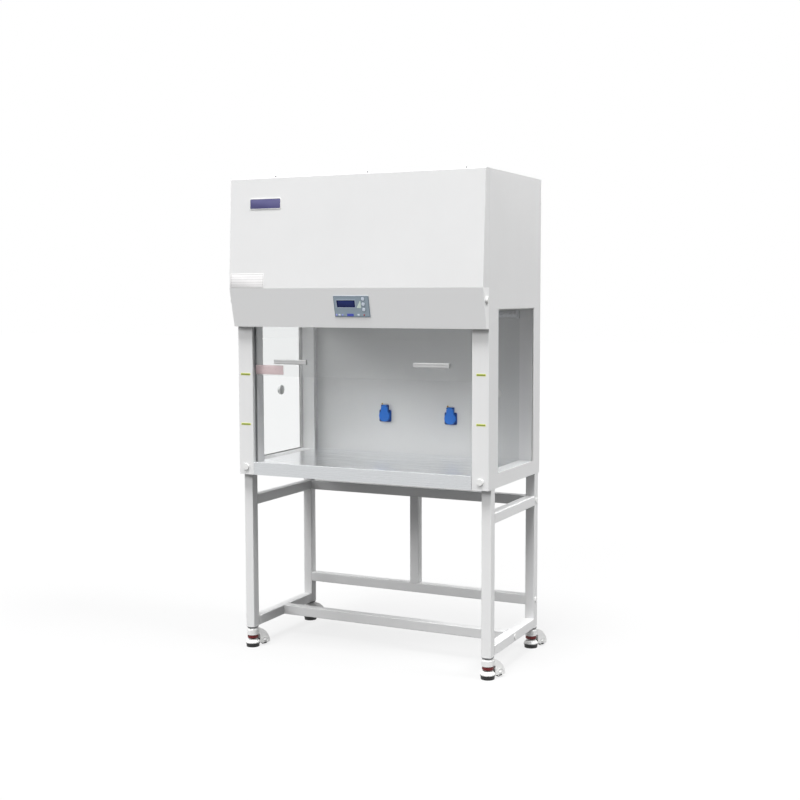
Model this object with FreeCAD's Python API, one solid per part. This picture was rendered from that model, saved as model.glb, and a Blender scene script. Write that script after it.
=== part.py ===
import FreeCAD, Part
import math
import os

# A vertical laminar flow cabinet on a tube stand with levelling casters.
# Millimetres. X runs to the right, Y to the back, Z up. The origin lies on the floor
# under the middle of the whole outline.

V = FreeCAD.Vector
AXIS_X = V(1, 0, 0)
AXIS_Y = V(0, 1, 0)
AXIS_Z = V(0, 0, 1)

# Cabinet
cabinet_width = 1050.0
cabinet_depth = 540.0
cabinet_height = 1142.0
sheet = 1.5
column_width = 65.0
front_column_depth = 78.0
rear_column_depth = 62.0
apron_height = 51.0
opening_height = 578.5
ceiling_height = 650.0
back_wall_setback = 38.0
panel_gap = 0.5
sheet_bend = 2.0

# Side windows
window_margin = 12.0
glass_thickness = 5.0
glass_gap = 0.5

# Front cover
cover_top_depth = 34.5
cover_fold_depth = 56.0
cover_bottom_depth = 23.5
cover_fold_height = 725.0
cover_hem = 12.0
cover_bend = 4.0
cover_gap = 0.5
knob_radius = 13.0
knob_thickness = 9.0
knob_shank_radius = 4.0
knob_height = 681.0
knob_setback = 24.0
knob_notches = 6

# Cover hinges
hinge_spacing = 392.0
hinge_length = 90.0
hinge_leaf_width = 30.0
hinge_leaf = 2.0
hinge_barrel_radius = 4.5
hinge_pin_radius = 2.5
hinge_share = 0.34

# Sash
sash_height = 560.0
sash_rest_height = 387.0
sash_setback = 20.0
sash_edge_cover = 12.0
guide_wall = 1.5
guide_lip = 6.0
guide_play = 0.4
handle_length = 142.0
handle_height = 18.0
handle_spacing = 297.0
handle_rise = 56.5
handle_depth = 13.0

# Sash balancers
drum_radius = 22.0
drum_width = 14.0
drum_drop = 62.0
drum_axle_radius = 4.0
balancer_inset = 45.0
balancer_wall = 1.5
tape_width = 10.0
tape_thickness = 0.8
tape_anchor_drop = 90.0
clip_width = 26.0
clip_height = 22.0

# Work tray and base
rib_width = 40.0
rib_inset = 130.0
tray_return = 15.0

# Stand
tube_size = 38.0
tube_wall = 2.0
tube_corner = 3.0
leg_length = 618.0
leg_side_inset = 1.0
leg_front_inset = 30.0
leg_rear_inset = 11.0
side_rail_drop = 90.0
rear_lower_rail_rise = 92.0
stretcher_setback = 262.0
end_plate = 5.0
bolt_radius = 4.0
bolt_head_radius = 6.5
bolt_head_height = 5.3
bolt_length = 22.0
access_radius = 8.0
cap_flange_radius = 11.0
cap_flange = 2.5

# Levelling caster
caster_height = 82.0
caster_angle = 56.0
caster_body_radius = 22.5
caster_body_top = 75.7
stem_flange = 6.0
stem_flange_radius = 18.0
stem_radius = 6.0
stem_pin_length = 16.0
insert_length = 30.0
wheel_radius = 18.0
wheel_width = 20.0
wheel_offset = 47.0
wheel_lift = 2.0
wheel_edge = 3.0
wheel_clearance = 1.5
wheel_axle_radius = 3.0
cheek = 3.0
cheek_bottom = 12.0
thumbwheel_radius = 21.0
thumbwheel_height = 12.0
thumbwheel_hub_radius = 11.0
thumbwheel_hub_height = 8.0
thumbwheel_notches = 8
notch_radius = 2.2
pad_radius = 26.5
pad_sole = 12.7
pad_dome_radius = 28.0
pad_dome_height = 14.3
pad_dome_wall = 7.0
pad_dome_slope = 6.0
pad_boss_radius = 19.0
pad_boss_height = 3.0
pad_retraction = 5.0
pad_headroom = 4.0
stud_radius = 6.0
stud_length = 25.5

# Control panel on the lower slope, measured down the slope from the fold
panel_width = 146.5
panel_top = 30.0
panel_height = 78.5
panel_plate = 2.0
panel_case_depth = 22.0
panel_case_margin = 7.0
panel_case_wall = 1.0
panel_lap = 1.5
panel_centre = -1.0
display_width = 77.0
display_height = 27.5
display_centre = -24.0
display_top = 45.4
display_board = 1.5
round_key_radius = 7.0
round_key_place = 48.0
round_key_first = 40.5
round_key_pitch = 20.0
wide_key_width = 27.0
wide_key_height = 9.0
wide_key_place = -9.4
wide_key_down = 100.8
key_proud = 1.0
key_gap = 0.3
key_flange = 1.0
key_rim = 0.8

# Sockets on the back wall
socket_places = (-134.0, 161.0)
socket_height = 201.0
socket_width = 53.0
socket_tall = 50.0
socket_corner = 6.0
socket_plate = 5.0
socket_body = 42.0
socket_body_depth = 26.0
lid_radius = 23.5
lid_neck = 30.0
lid_depth = 9.0
lid_pin_rise = 41.0
lid_pin_radius = 2.0
lid_barrel_radius = 4.0
lid_ear = 5.0

# Ports and caps
port_plug_radius = 18.0
port_plug_height = 310.0
port_plug_place = 362.0
glass_plug_radius = 20.0
glass_plug_setback = 306.0
plug_proud = 5.0
column_cap_radius = 12.5
column_cap_inset = 32.0
column_cap_height = 30.0

# Air system
plenum_front = 82.0
filter_front_gap = 8.0
filter_rear_gap = 50.0
filter_side_gap = 10.0
filter_height = 69.0
filter_frame = 14.0
diffuser_slots = 17
diffuser_slot_width = 12.0
fan_plate_rise = 250.0
fan_setback = 292.0
inlet_radius = 92.0
impeller_radius = 150.0
impeller_height = 92.0
impeller_blades = 7
blade_thickness = 2.5
fan_gap = 6.0
motor_radius = 58.0
motor_height = 42.0
motor_shaft_radius = 8.0
motor_post_radius = 178.0
intake_slots = 9
intake_width = 420.0
intake_slot = 8.0
lamp_radius = 8.0
uv_lamp_radius = 13.0
lamp_drop = 28.0
lamp_setback = 56.0
lamp_holder = 12.0

# Fits
slip = 0.05
seat = 0.3

# Worked-out places
base_z = caster_height + leg_length
top_z = base_z + cabinet_height
work_z = base_z + apron_height
ceiling_z = base_z + ceiling_height
opening_z = base_z + opening_height
fold_z = base_z + cover_fold_height
half_width = cabinet_width / 2
inner_half = half_width - column_width
balancer_spacing = inner_half - balancer_inset
column_cap_place = half_width - column_cap_inset
filter_width = 2 * (inner_half - filter_side_gap)
filter_depth = cabinet_depth - plenum_front - filter_front_gap - filter_rear_gap
leg_x = half_width - leg_side_inset - tube_size / 2
turn = math.radians(caster_angle)
wheel_reach = wheel_offset + wheel_radius + cheek
caster_half = wheel_width / 2 + cheek + 0.5
caster_back = wheel_reach * math.sin(turn) + caster_half * math.cos(turn)
rear_leg_setback = cabinet_depth - leg_rear_inset - tube_size / 2
front_y = -(rear_leg_setback + caster_back - cover_fold_depth) / 2
back_y = front_y + cabinet_depth
back_wall_y = back_y - back_wall_setback
front_leg_y = front_y + leg_front_inset + tube_size / 2
rear_leg_y = front_y + rear_leg_setback
window_front_y = front_y + front_column_depth + window_margin
window_rear_y = back_y - rear_column_depth - window_margin
sash_y = front_y + sash_setback
sash_z = base_z + sash_rest_height
sash_half = inner_half + sash_edge_cover
hinge_axis_z = top_z + hinge_barrel_radius + seat
leg_places = [
    ("front_left", -leg_x, front_leg_y),
    ("front_right", leg_x, front_leg_y),
    ("rear_left", -leg_x, rear_leg_y),
    ("rear_right", leg_x, rear_leg_y),
]


def box(x0, x1, y0, y1, z0, z1):
    return Part.makeBox(x1 - x0, y1 - y0, z1 - z0, V(x0, y0, z0))


def rod(radius, start, axis, length):
    return Part.makeCylinder(radius, length, start, axis)


def fuse(shapes):
    whole = shapes[0]
    for shape in shapes[1:]:
        whole = whole.fuse(shape)
    return whole.removeSplitter()


def cut(shape, tools):
    for tool in tools:
        shape = shape.cut(tool)
    return shape


def mirrored(shape):
    return shape.mirror(V(0, 0, 0), AXIS_X)


def both_sides(shape):
    return [mirrored(shape), shape]


def lies_at(edge, axis, value):
    """True if every point of an edge has this value on the axis 'X', 'Y' or 'Z'."""
    low = getattr(edge.BoundBox, axis + "Min")
    high = getattr(edge.BoundBox, axis + "Max")
    return abs(low - value) < 0.01 and abs(high - value) < 0.01


def rounded(shape, radius, choose):
    """Rounds the edges that choose picks."""
    return shape.makeFillet(radius, [edge for edge in shape.Edges if choose(edge)])


def profile_x(points, x0, x1):
    """A closed outline of (y, z) points, extruded from x0 to x1."""
    corners = [V(x0, y, z) for y, z in points]
    face = Part.Face(Part.makePolygon(corners + corners[:1]))
    return face.extrude(V(x1 - x0, 0, 0))


def turned(points):
    """A solid of revolution about Z from an outline of (radius, z) points."""
    corners = [V(radius, 0, z) for radius, z in points]
    face = Part.Face(Part.makePolygon(corners + corners[:1]))
    return face.revolve(V(0, 0, 0), AXIS_Z, 360)


def square_tube(x0, x1, y0, y1, z0, z1, along):
    """A rectangular tube that runs along one axis and is open at both ends."""
    length = {"x": x1 - x0, "y": y1 - y0, "z": z1 - z0}[along]
    outer = rounded(box(x0, x1, y0, y1, z0, z1), tube_corner,
                    lambda edge: abs(edge.Length - length) < 0.01)
    w = tube_wall
    trim = {"x": (0, w, w), "y": (w, 0, w), "z": (w, w, 0)}[along]
    inner = box(
        x0 + trim[0], x1 - trim[0],
        y0 + trim[1], y1 - trim[1],
        z0 + trim[2], z1 - trim[2],
    )
    return outer.cut(inner)


def export(name, solids):
    shape = solids[0] if len(solids) == 1 else Part.makeCompound(solids)
    shape.exportStep("parts/" + name + ".step")


# Stand

upper_rail_z = base_z - side_rail_drop
lower_rail_z = caster_height + tube_size
rear_lower_z = caster_height + rear_lower_rail_rise
stretcher_y = front_y + stretcher_setback
half_tube = tube_size / 2
rail_x = leg_x - half_tube


def bolt_places():
    """Centres (y, z) of the bolts that hold the cross tubes, seen from the side."""
    return [
        (rear_leg_y, upper_rail_z - half_tube),
        (rear_leg_y, rear_lower_z + half_tube),
        (stretcher_y + half_tube, lower_rail_z - half_tube),
    ]


def side_frame_right():
    legs = []
    for y in (front_leg_y, rear_leg_y):
        legs.append(square_tube(
            leg_x - half_tube, leg_x + half_tube,
            y - half_tube, y + half_tube,
            caster_height, base_z, "z"))
    rails = []
    for top in (upper_rail_z, lower_rail_z):
        rails.append(square_tube(
            leg_x - half_tube, leg_x + half_tube,
            front_leg_y + half_tube, rear_leg_y - half_tube,
            top - tube_size, top, "y"))
    tubes = legs + rails
    for y, z in bolt_places():
        access = rod(access_radius, V(leg_x, y, z), AXIS_X, tube_size)
        passing = rod(bolt_radius + seat, V(leg_x, y, z), -AXIS_X, tube_size)
        tubes = [cut(tube, [access, passing]) for tube in tubes]
    return tubes


def cross_rail(y, z0):
    """A cross tube with a tapped plate welded into each end."""
    rail = square_tube(
        -rail_x, rail_x, y - half_tube, y + half_tube, z0, z0 + tube_size, "x")
    inner = half_tube - tube_wall
    z = z0 + half_tube
    plate = box(rail_x - end_plate, rail_x, y - inner, y + inner, z - inner, z + inner)
    plate = plate.cut(rod(bolt_radius + slip, V(rail_x, y, z), -AXIS_X, end_plate))
    return fuse([rail] + both_sides(plate))


def centre_post():
    return square_tube(
        -half_tube, half_tube, rear_leg_y - half_tube, rear_leg_y + half_tube,
        rear_lower_z + tube_size, upper_rail_z - tube_size, "z")


def frame_bolts():
    seat_x = rail_x + tube_wall
    bolts = []
    for y, z in bolt_places():
        shank = rod(bolt_radius, V(seat_x, y, z), -AXIS_X, bolt_length)
        head = rod(bolt_head_radius, V(seat_x, y, z), AXIS_X, bolt_head_height)
        bolts += both_sides(shank.fuse(head))
    return bolts


# Levelling casters, built with the wheel towards +X and the leg axis on Z

wheel_z = wheel_lift + wheel_radius
block_z = pad_sole + pad_dome_height + pad_retraction + pad_headroom + thumbwheel_height + seat
hub_top = block_z - seat + thumbwheel_hub_height
stud_top = pad_sole + pad_dome_height + stud_length
pin_bottom = caster_height - stem_flange - stem_pin_length


def placed(shape, x, y, angle=0):
    copy = shape.copy()
    copy.rotate(V(0, 0, 0), AXIS_Z, angle)
    copy.translate(V(x, y, 0))
    return copy


def caster_body():
    """The swivelling body: a round block over the thumbwheel and a hood over the wheel."""
    top = caster_body_top
    block = turned([
        (0, block_z), (caster_body_radius, block_z), (caster_body_radius, top - 7),
        (caster_body_radius - 3, top - 2), (caster_body_radius - 8, top), (0, top)])
    far = wheel_reach
    start = V(0, -caster_half, top - 1)
    crown = V(wheel_offset + 5, -caster_half, wheel_z + 35)
    end = V(far, -caster_half, wheel_z)
    edges = [
        Part.Arc(start, crown, end).toShape(),
        Part.makeLine(end, V(far, -caster_half, cheek_bottom)),
        Part.makeLine(V(far, -caster_half, cheek_bottom), V(0, -caster_half, cheek_bottom)),
        Part.makeLine(V(0, -caster_half, cheek_bottom), start),
    ]
    hood = Part.Face(Part.Wire(edges)).extrude(V(0, 2 * caster_half, 0))
    half_wheel = wheel_width / 2 + 0.5
    room = rod(
        wheel_radius + wheel_clearance, V(wheel_offset, -half_wheel, wheel_z),
        AXIS_Y, 2 * half_wheel)
    below = box(
        wheel_offset - wheel_radius - wheel_clearance,
        wheel_offset + wheel_radius + wheel_clearance,
        -half_wheel, half_wheel, 0, wheel_z)
    foot_room = rod(pad_dome_radius + 0.6, V(0, 0, 0), AXIS_Z, block_z)
    body = cut(hood, [room, below, foot_room]).fuse(block)
    hub_bore = rod(thumbwheel_hub_radius + slip, V(0, 0, block_z - 1), AXIS_Z,
                   thumbwheel_hub_height + 1 + seat)
    stud_bore = rod(stud_radius + seat, V(0, 0, block_z), AXIS_Z, pin_bottom - block_z - 1)
    pin_bore = rod(stem_radius + slip, V(0, 0, pin_bottom - 1), AXIS_Z, caster_height)
    axle = rod(wheel_axle_radius, V(wheel_offset, -caster_half, wheel_z), AXIS_Y,
               2 * caster_half)
    return cut(body, [hub_bore, stud_bore, pin_bore]).fuse(axle).removeSplitter()


def caster_wheel():
    half = wheel_width / 2
    wheel = turned([
        (wheel_axle_radius + slip, -half), (wheel_radius - wheel_edge, -half),
        (wheel_radius, -half + wheel_edge), (wheel_radius, half - wheel_edge),
        (wheel_radius - wheel_edge, half), (wheel_axle_radius + slip, half)])
    wheel.rotate(V(0, 0, 0), AXIS_X, 90)
    wheel.translate(V(wheel_offset, 0, wheel_z))
    return wheel


def thumbwheel():
    bottom = block_z - seat - thumbwheel_height
    place = thumbwheel_radius + notch_radius / 2
    disc = turned([
        (stud_radius + slip, bottom), (thumbwheel_radius, bottom),
        (thumbwheel_radius, bottom + thumbwheel_height),
        (thumbwheel_hub_radius, bottom + thumbwheel_height),
        (thumbwheel_hub_radius, hub_top), (stud_radius + slip, hub_top)])
    for number in range(thumbwheel_notches):
        angle = 2 * math.pi * number / thumbwheel_notches
        notch = rod(notch_radius, V(place * math.cos(angle), place * math.sin(angle), bottom),
                    AXIS_Z, thumbwheel_height)
        disc = disc.cut(notch)
    return disc


def foot_pad():
    """A rubber-soled levelling foot with its threaded stud."""
    dome_top = pad_sole + pad_dome_height
    return turned([
        (0, 0), (pad_radius - 1, 0), (pad_radius, pad_sole),
        (pad_dome_radius, pad_sole), (pad_dome_radius, pad_sole + pad_dome_wall),
        (pad_dome_radius - pad_dome_slope, dome_top), (pad_boss_radius, dome_top),
        (pad_boss_radius, dome_top + pad_boss_height), (stud_radius, dome_top + pad_boss_height),
        (stud_radius, stud_top), (0, stud_top)])


def caster_stem():
    flange_z = caster_height - stem_flange
    pin = rod(stem_radius, V(0, 0, pin_bottom), AXIS_Z, stem_pin_length)
    flange = rod(stem_flange_radius, V(0, 0, flange_z), AXIS_Z, stem_flange)
    inner = half_tube - tube_wall - seat
    insert = box(-inner, inner, -inner, inner, caster_height, caster_height + insert_length)
    return fuse([pin, flange, insert])


# Cabinet shell

panel_top_z = top_z - sheet
slot_low = sash_y - guide_play - guide_lip
slot_high = sash_y + glass_thickness + guide_play + guide_lip
tab_height = 40.0
tab_depth = 38.0
tab_x = half_width - sheet - 3.0


def column(y0, y1, sides):
    """A folded column of sheet, open at both ends; sides names its walls."""
    x0, x1 = inner_half, half_width
    walls = {
        "front": box(x0, x1, y0, y0 + sheet, base_z, panel_top_z),
        "rear": box(x0, x1, y1 - sheet, y1, base_z, panel_top_z),
        "inner": box(x0, x0 + sheet, y0, y1, base_z, panel_top_z),
    }
    return [walls[side] for side in sides]


def cover_tab():
    """The slotted tab inside the cover that the cover's locking knob clamps."""
    z = base_z + knob_height
    tab = box(tab_x - hinge_leaf, tab_x, front_y - tab_depth, front_y,
              z - tab_height / 2, z + tab_height / 2)
    foot = box(tab_x - 20, tab_x, front_y - hinge_leaf, front_y,
               z - tab_height / 2, z + tab_height / 2)
    y = front_y - knob_setback
    room = knob_shank_radius + 1.0
    hole = rod(room, V(tab_x - 5, y, z), AXIS_X, 10)
    mouth = box(tab_x - 5, tab_x + 5, front_y - tab_depth - 1, y, z - room, z + room)
    return cut(fuse([tab, foot]), [hole, mouth])


def window_ledge():
    """The painted ledge under a side window, folded down along the tray."""
    y0 = front_y + front_column_depth
    y1 = back_y - rear_column_depth
    x1 = half_width - sheet - glass_thickness - panel_gap
    ledge = box(inner_half, x1, y0, y1, work_z - sheet, work_z)
    fold = box(inner_half, inner_half + sheet, y0, y1, base_z + sheet + seat, work_z)
    return fuse([ledge, fold])


def side_panel_right():
    skin = box(half_width - sheet, half_width, front_y, back_y, base_z, panel_top_z)
    window = box(half_width - sheet, half_width, window_front_y, window_rear_y,
                 work_z, ceiling_z)
    front = column(front_y, front_y + front_column_depth, ("front", "rear", "inner"))
    rear = column(back_y - rear_column_depth, back_y, ("front", "rear", "inner"))
    panel = fuse([skin.cut(window)] + front + rear + [window_ledge()])

    def outer_fold(edge):
        upright = edge.Length > cabinet_height - 2 * sheet
        at_front = lies_at(edge, "Y", front_y) and (
            lies_at(edge, "X", half_width) or lies_at(edge, "X", inner_half))
        at_back = lies_at(edge, "Y", back_y) and lies_at(edge, "X", half_width)
        return upright and (at_front or at_back)

    panel = fuse([rounded(panel, sheet_bend, outer_fold), cover_tab()])
    slot = box(inner_half, inner_half + sheet, slot_low - seat, slot_high + seat,
               work_z, panel_top_z)
    cap_bore = rod(column_cap_radius - 3, V(column_cap_place, front_y, base_z + column_cap_height),
                   AXIS_Y, sheet)
    return cut(panel, [slot, cap_bore])


def side_glass_right():
    y0 = front_y + front_column_depth + glass_gap
    y1 = back_y - rear_column_depth - glass_gap
    x1 = half_width - sheet
    return box(x1 - glass_thickness, x1, y0, y1, work_z - window_margin, ceiling_z + window_margin)


def base_plan(z0, z1, gap):
    """The floor plan between the columns, reaching out to the side windows."""
    middle = box(-inner_half + gap, inner_half - gap, front_y, back_wall_y - gap, z0, z1)
    side = half_width - sheet - glass_thickness - gap
    wide = box(-side, side, front_y + front_column_depth + gap,
               back_y - rear_column_depth - gap, z0, z1)
    return fuse([middle, wide])


def work_tray():
    x = inner_half - panel_gap
    top = box(-x, x, front_y, back_wall_y - panel_gap, work_z - sheet, work_z)
    apron = box(-x, x, front_y, front_y + sheet, base_z, work_z)
    lip = box(-x, x, front_y, front_y + tray_return, base_z, base_z + sheet)
    rear_fold = box(-x, x, back_wall_y - panel_gap - sheet, back_wall_y - panel_gap,
                    work_z - tray_return, work_z)
    return rounded(fuse([top, apron, lip, rear_fold]), sheet_bend,
                   lambda edge: lies_at(edge, "Y", front_y) and lies_at(edge, "Z", work_z))


def base_pan():
    floor = base_plan(base_z, base_z + sheet, panel_gap)
    front_room = box(-half_width, half_width, front_y, front_y + tray_return + panel_gap,
                     base_z, work_z)
    floor = floor.cut(front_room)
    x = inner_half - panel_gap
    rear = box(-x, x, back_wall_y - panel_gap - sheet, back_y - sheet - panel_gap,
               base_z, base_z + sheet)
    ribs = []
    for y in (front_y + rib_inset, back_wall_y - rib_inset):
        z0 = base_z + sheet
        z1 = work_z - sheet
        outer = box(-x, x, y - rib_width / 2, y + rib_width / 2, z0, z1)
        inner = box(-x, x, y - rib_width / 2 + sheet, y + rib_width / 2 - sheet, z0, z1 - sheet)
        ribs.append(outer.cut(inner))
    return fuse([floor, rear] + ribs)


def wall_hole_tools():
    tools = []
    for x in socket_places:
        half = socket_body / 2 + seat
        z = base_z + socket_height
        tools.append(box(x - half, x + half, back_wall_y - 1, back_wall_y + sheet + 1,
                         z - half, z + half))
    port = V(port_plug_place, back_wall_y - 1, base_z + port_plug_height)
    tools.append(rod(port_plug_radius - 3, port, AXIS_Y, sheet + 2))
    return tools


def back_wall():
    x = inner_half - seat
    wall = box(-x, x, back_wall_y, back_wall_y + sheet, work_z - tray_return, ceiling_z)
    shelf = box(-x, x, back_wall_y, back_y - sheet - panel_gap, ceiling_z - sheet, ceiling_z)
    return cut(fuse([wall, shelf]), wall_hole_tools())


def rear_panel():
    x = inner_half - panel_gap
    return box(-x, x, back_y - sheet, back_y, base_z, panel_top_z)


def top_panel():
    lid = box(-half_width, half_width, front_y, back_y, panel_top_z, top_z)
    pitch = 3 * intake_slot
    first = front_y + fan_setback - pitch * (intake_slots - 1) / 2
    for number in range(intake_slots):
        y = first + pitch * number
        lid = lid.cut(box(-intake_width / 2, intake_width / 2, y - intake_slot / 2,
                          y + intake_slot / 2, panel_top_z, top_z))
    x = inner_half - panel_gap
    fold = box(-x, x, back_y - 2 * sheet - seat, back_y - sheet - seat,
               panel_top_z - tray_return, panel_top_z)
    return fuse([lid, fold])


# Sash

def sash_guide_right():
    outer = box(inner_half, sash_half + seat + guide_wall, slot_low, slot_high,
                work_z + panel_gap, panel_top_z - panel_gap)
    groove = box(inner_half, sash_half + seat, sash_y - guide_play,
                 sash_y + glass_thickness + guide_play, work_z, panel_top_z)
    return outer.cut(groove)


def sash_glass():
    return box(-sash_half, sash_half, sash_y, sash_y + glass_thickness,
               sash_z, sash_z + sash_height)


tape_y = sash_y + glass_thickness + 4.0
drum_y = tape_y + tape_thickness / 2 + drum_radius
drum_z = panel_top_z - drum_drop + drum_radius
anchor_z = sash_z + sash_height - tape_anchor_drop


def sash_handle(x):
    """A bar handle that stands off the glass on two feet."""
    z = sash_z + handle_rise
    grip = box(x - handle_length / 2, x + handle_length / 2,
               sash_y - handle_depth, sash_y - handle_depth + 5,
               z - handle_height / 2, z + handle_height / 2)
    feet = []
    for end in (-1, 1):
        centre = x + end * (handle_length / 2 - 9)
        feet.append(box(centre - 8, centre + 8, sash_y - handle_depth, sash_y,
                        z - handle_height / 2, z + handle_height / 2))
    bar = fuse([grip] + feet)
    long_edges = [e for e in bar.Edges
                  if e.Length > handle_length - 1 and e.BoundBox.YMax < sash_y - handle_depth + 1]
    return bar.makeFillet(2.0, long_edges)


def tape_clip(x):
    """The clip at the back of the sash glass that the balancer tape hooks into."""
    y = sash_y + glass_thickness
    block = box(x - clip_width / 2, x + clip_width / 2, y, y + 8.0,
                anchor_z - clip_height, anchor_z)
    pocket = box(x - tape_width / 2 - seat, x + tape_width / 2 + seat,
                 tape_y - tape_thickness, tape_y + tape_thickness,
                 anchor_z - clip_height / 2, anchor_z)
    return block.cut(pocket)


def sash_fittings():
    handles = [sash_handle(-handle_spacing), sash_handle(handle_spacing)]
    return handles + [tape_clip(-balancer_spacing), tape_clip(balancer_spacing)]


def balancer_tape(x):
    bottom = anchor_z - clip_height / 2 + seat
    return box(x - tape_width / 2, x + tape_width / 2,
               tape_y - tape_thickness / 2, tape_y + tape_thickness / 2, bottom, drum_z)


def balancer_drum(x):
    half = drum_width / 2
    drum = turned([
        (drum_axle_radius + slip, -half), (drum_radius - 0.5, -half),
        (drum_radius - 0.5, half), (drum_axle_radius + slip, half)])
    drum.rotate(V(0, 0, 0), AXIS_Y, 90)
    drum.translate(V(x, drum_y, drum_z))
    return drum


def balancer_bracket(x):
    """Two cheeks, an axle and a back plate that hang from the top panel."""
    half = drum_width / 2 + 1.5
    reach = drum_radius + 4
    cheeks = []
    for side in (-1, 1):
        x0 = min(x + side * half, x + side * (half + balancer_wall))
        cheeks.append(box(x0, x0 + balancer_wall, drum_y - drum_radius + 3, drum_y + reach,
                          drum_z - reach, panel_top_z))
    top = box(x - half - balancer_wall, x + half + balancer_wall, drum_y - drum_radius + 3,
              drum_y + reach, panel_top_z - balancer_wall, panel_top_z)
    axle = rod(drum_axle_radius, V(x - half, drum_y, drum_z), AXIS_X, 2 * half)
    return fuse(cheeks + [top, axle])


# Front cover

slope_run = cover_fold_depth - cover_bottom_depth
slope_drop = cover_fold_height - opening_height


def cover_outline(inset, low, back):
    """The cover's outline in (y, z), moved inwards by inset and carried down the slope by low."""
    bottom = front_y - cover_bottom_depth + low * slope_run / slope_drop
    return [
        (front_y + back, top_z - inset),
        (front_y - cover_top_depth + inset, top_z - inset),
        (front_y - cover_fold_depth + inset, fold_z),
        (bottom + inset, opening_z - low),
        (front_y + back, opening_z - low),
    ]


slope_angle = 90 + math.degrees(math.atan2(slope_run, slope_drop))
slope = FreeCAD.Placement(
    V(0, front_y - cover_fold_depth, fold_z), FreeCAD.Rotation(AXIS_X, slope_angle))


def on_slope(shape):
    """Moves a shape drawn with x across, y up the slope and z outwards onto the cover."""
    copy = shape.copy()
    copy.Placement = slope.multiply(copy.Placement)
    return copy


def slope_box(x0, x1, down0, down1, out0, out1):
    return on_slope(box(x0, x1, -down1, -down0, out0, out1))


panel_x0 = panel_centre - panel_width / 2
panel_x1 = panel_centre + panel_width / 2
panel_bottom = panel_top + panel_height
case_x0 = panel_x0 + panel_case_margin
case_x1 = panel_x1 - panel_case_margin
case_top = panel_top + panel_lap
case_bottom = panel_bottom - panel_lap


def knob_axis(side):
    return V(side * half_width, front_y - knob_setback, base_z + knob_height)


def front_cover():
    outer = profile_x(cover_outline(0, 0, -cover_gap), -half_width, half_width)
    outer = rounded(outer, cover_bend, lambda edge: lies_at(edge, "Z", top_z)
                    and lies_at(edge, "Y", front_y - cover_top_depth))
    inner = profile_x(cover_outline(sheet, 10, 5), -half_width + sheet, half_width - sheet)
    inner = rounded(inner, cover_bend - sheet, lambda edge: lies_at(edge, "Z", top_z - sheet)
                    and lies_at(edge, "Y", front_y - cover_top_depth + sheet))
    shell = outer.cut(inner)
    hem = box(-half_width, half_width, front_y - cover_bottom_depth,
              front_y - cover_bottom_depth + cover_hem, opening_z, opening_z + sheet)
    shell = fuse([shell, hem])
    opening = slope_box(case_x0 - seat, case_x1 + seat, case_top - seat, case_bottom + seat,
                        -5, 5)
    tools = [opening]
    for side in (-1, 1):
        start = knob_axis(side) - AXIS_X * 5
        tools.append(rod(knob_shank_radius + slip, start, AXIS_X, 10))
    return cut(shell, tools)


def cover_knob(side):
    """A ribbed locking knob with its shank through the cover's cheek."""
    shank_in = 8.0
    knob = turned([
        (0, -shank_in), (knob_shank_radius, -shank_in), (knob_shank_radius, seat),
        (knob_radius, seat), (knob_radius - 1, knob_thickness), (0, knob_thickness)])
    place = knob_radius + notch_radius / 2
    for number in range(knob_notches):
        angle = 2 * math.pi * number / knob_notches
        knob = knob.cut(rod(notch_radius, V(place * math.cos(angle), place * math.sin(angle), 0),
                            AXIS_Z, knob_thickness))
    knob.rotate(V(0, 0, 0), AXIS_Y, 90 * side)
    knob.translate(knob_axis(side))
    return knob


def hinge_knuckle(x0, x1, side, bore):
    """A knuckle with its leaf; side is 1 for the leaf on the cabinet, -1 on the cover."""
    axis = V(x0, front_y, hinge_axis_z)
    barrel = rod(hinge_barrel_radius, axis, AXIS_X, x1 - x0)
    y0, y1 = sorted((front_y, front_y + side * (hinge_barrel_radius + 1)))
    link = box(x0, x1, y0, y1, top_z, top_z + hinge_leaf)
    whole = fuse([barrel, link])
    return whole.cut(rod(bore, axis, AXIS_X, x1 - x0)) if bore else whole


def hinge_leaf_plate(centre, side):
    near = hinge_barrel_radius + 1
    y0, y1 = sorted((front_y + side * near, front_y + side * hinge_leaf_width))
    return box(centre - hinge_length / 2, centre + hinge_length / 2, y0, y1,
               top_z, top_z + hinge_leaf)


def fixed_hinge(centre):
    end = hinge_length / 2
    middle = hinge_length * hinge_share / 2
    pieces = [hinge_leaf_plate(centre, 1)]
    pieces.append(hinge_knuckle(centre - end, centre - middle - seat, 1, 0))
    pieces.append(hinge_knuckle(centre + middle + seat, centre + end, 1, 0))
    pin = rod(hinge_pin_radius, V(centre - end, front_y, hinge_axis_z), AXIS_X, hinge_length)
    return fuse(pieces + [pin])


def cover_hinge(centre):
    middle = hinge_length * hinge_share / 2
    knuckle = hinge_knuckle(centre - middle, centre + middle, -1, hinge_pin_radius + slip)
    return fuse([hinge_leaf_plate(centre, -1), knuckle])


# Control panel

def round_key_downs():
    return [round_key_first + round_key_pitch * number for number in range(3)]


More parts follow.
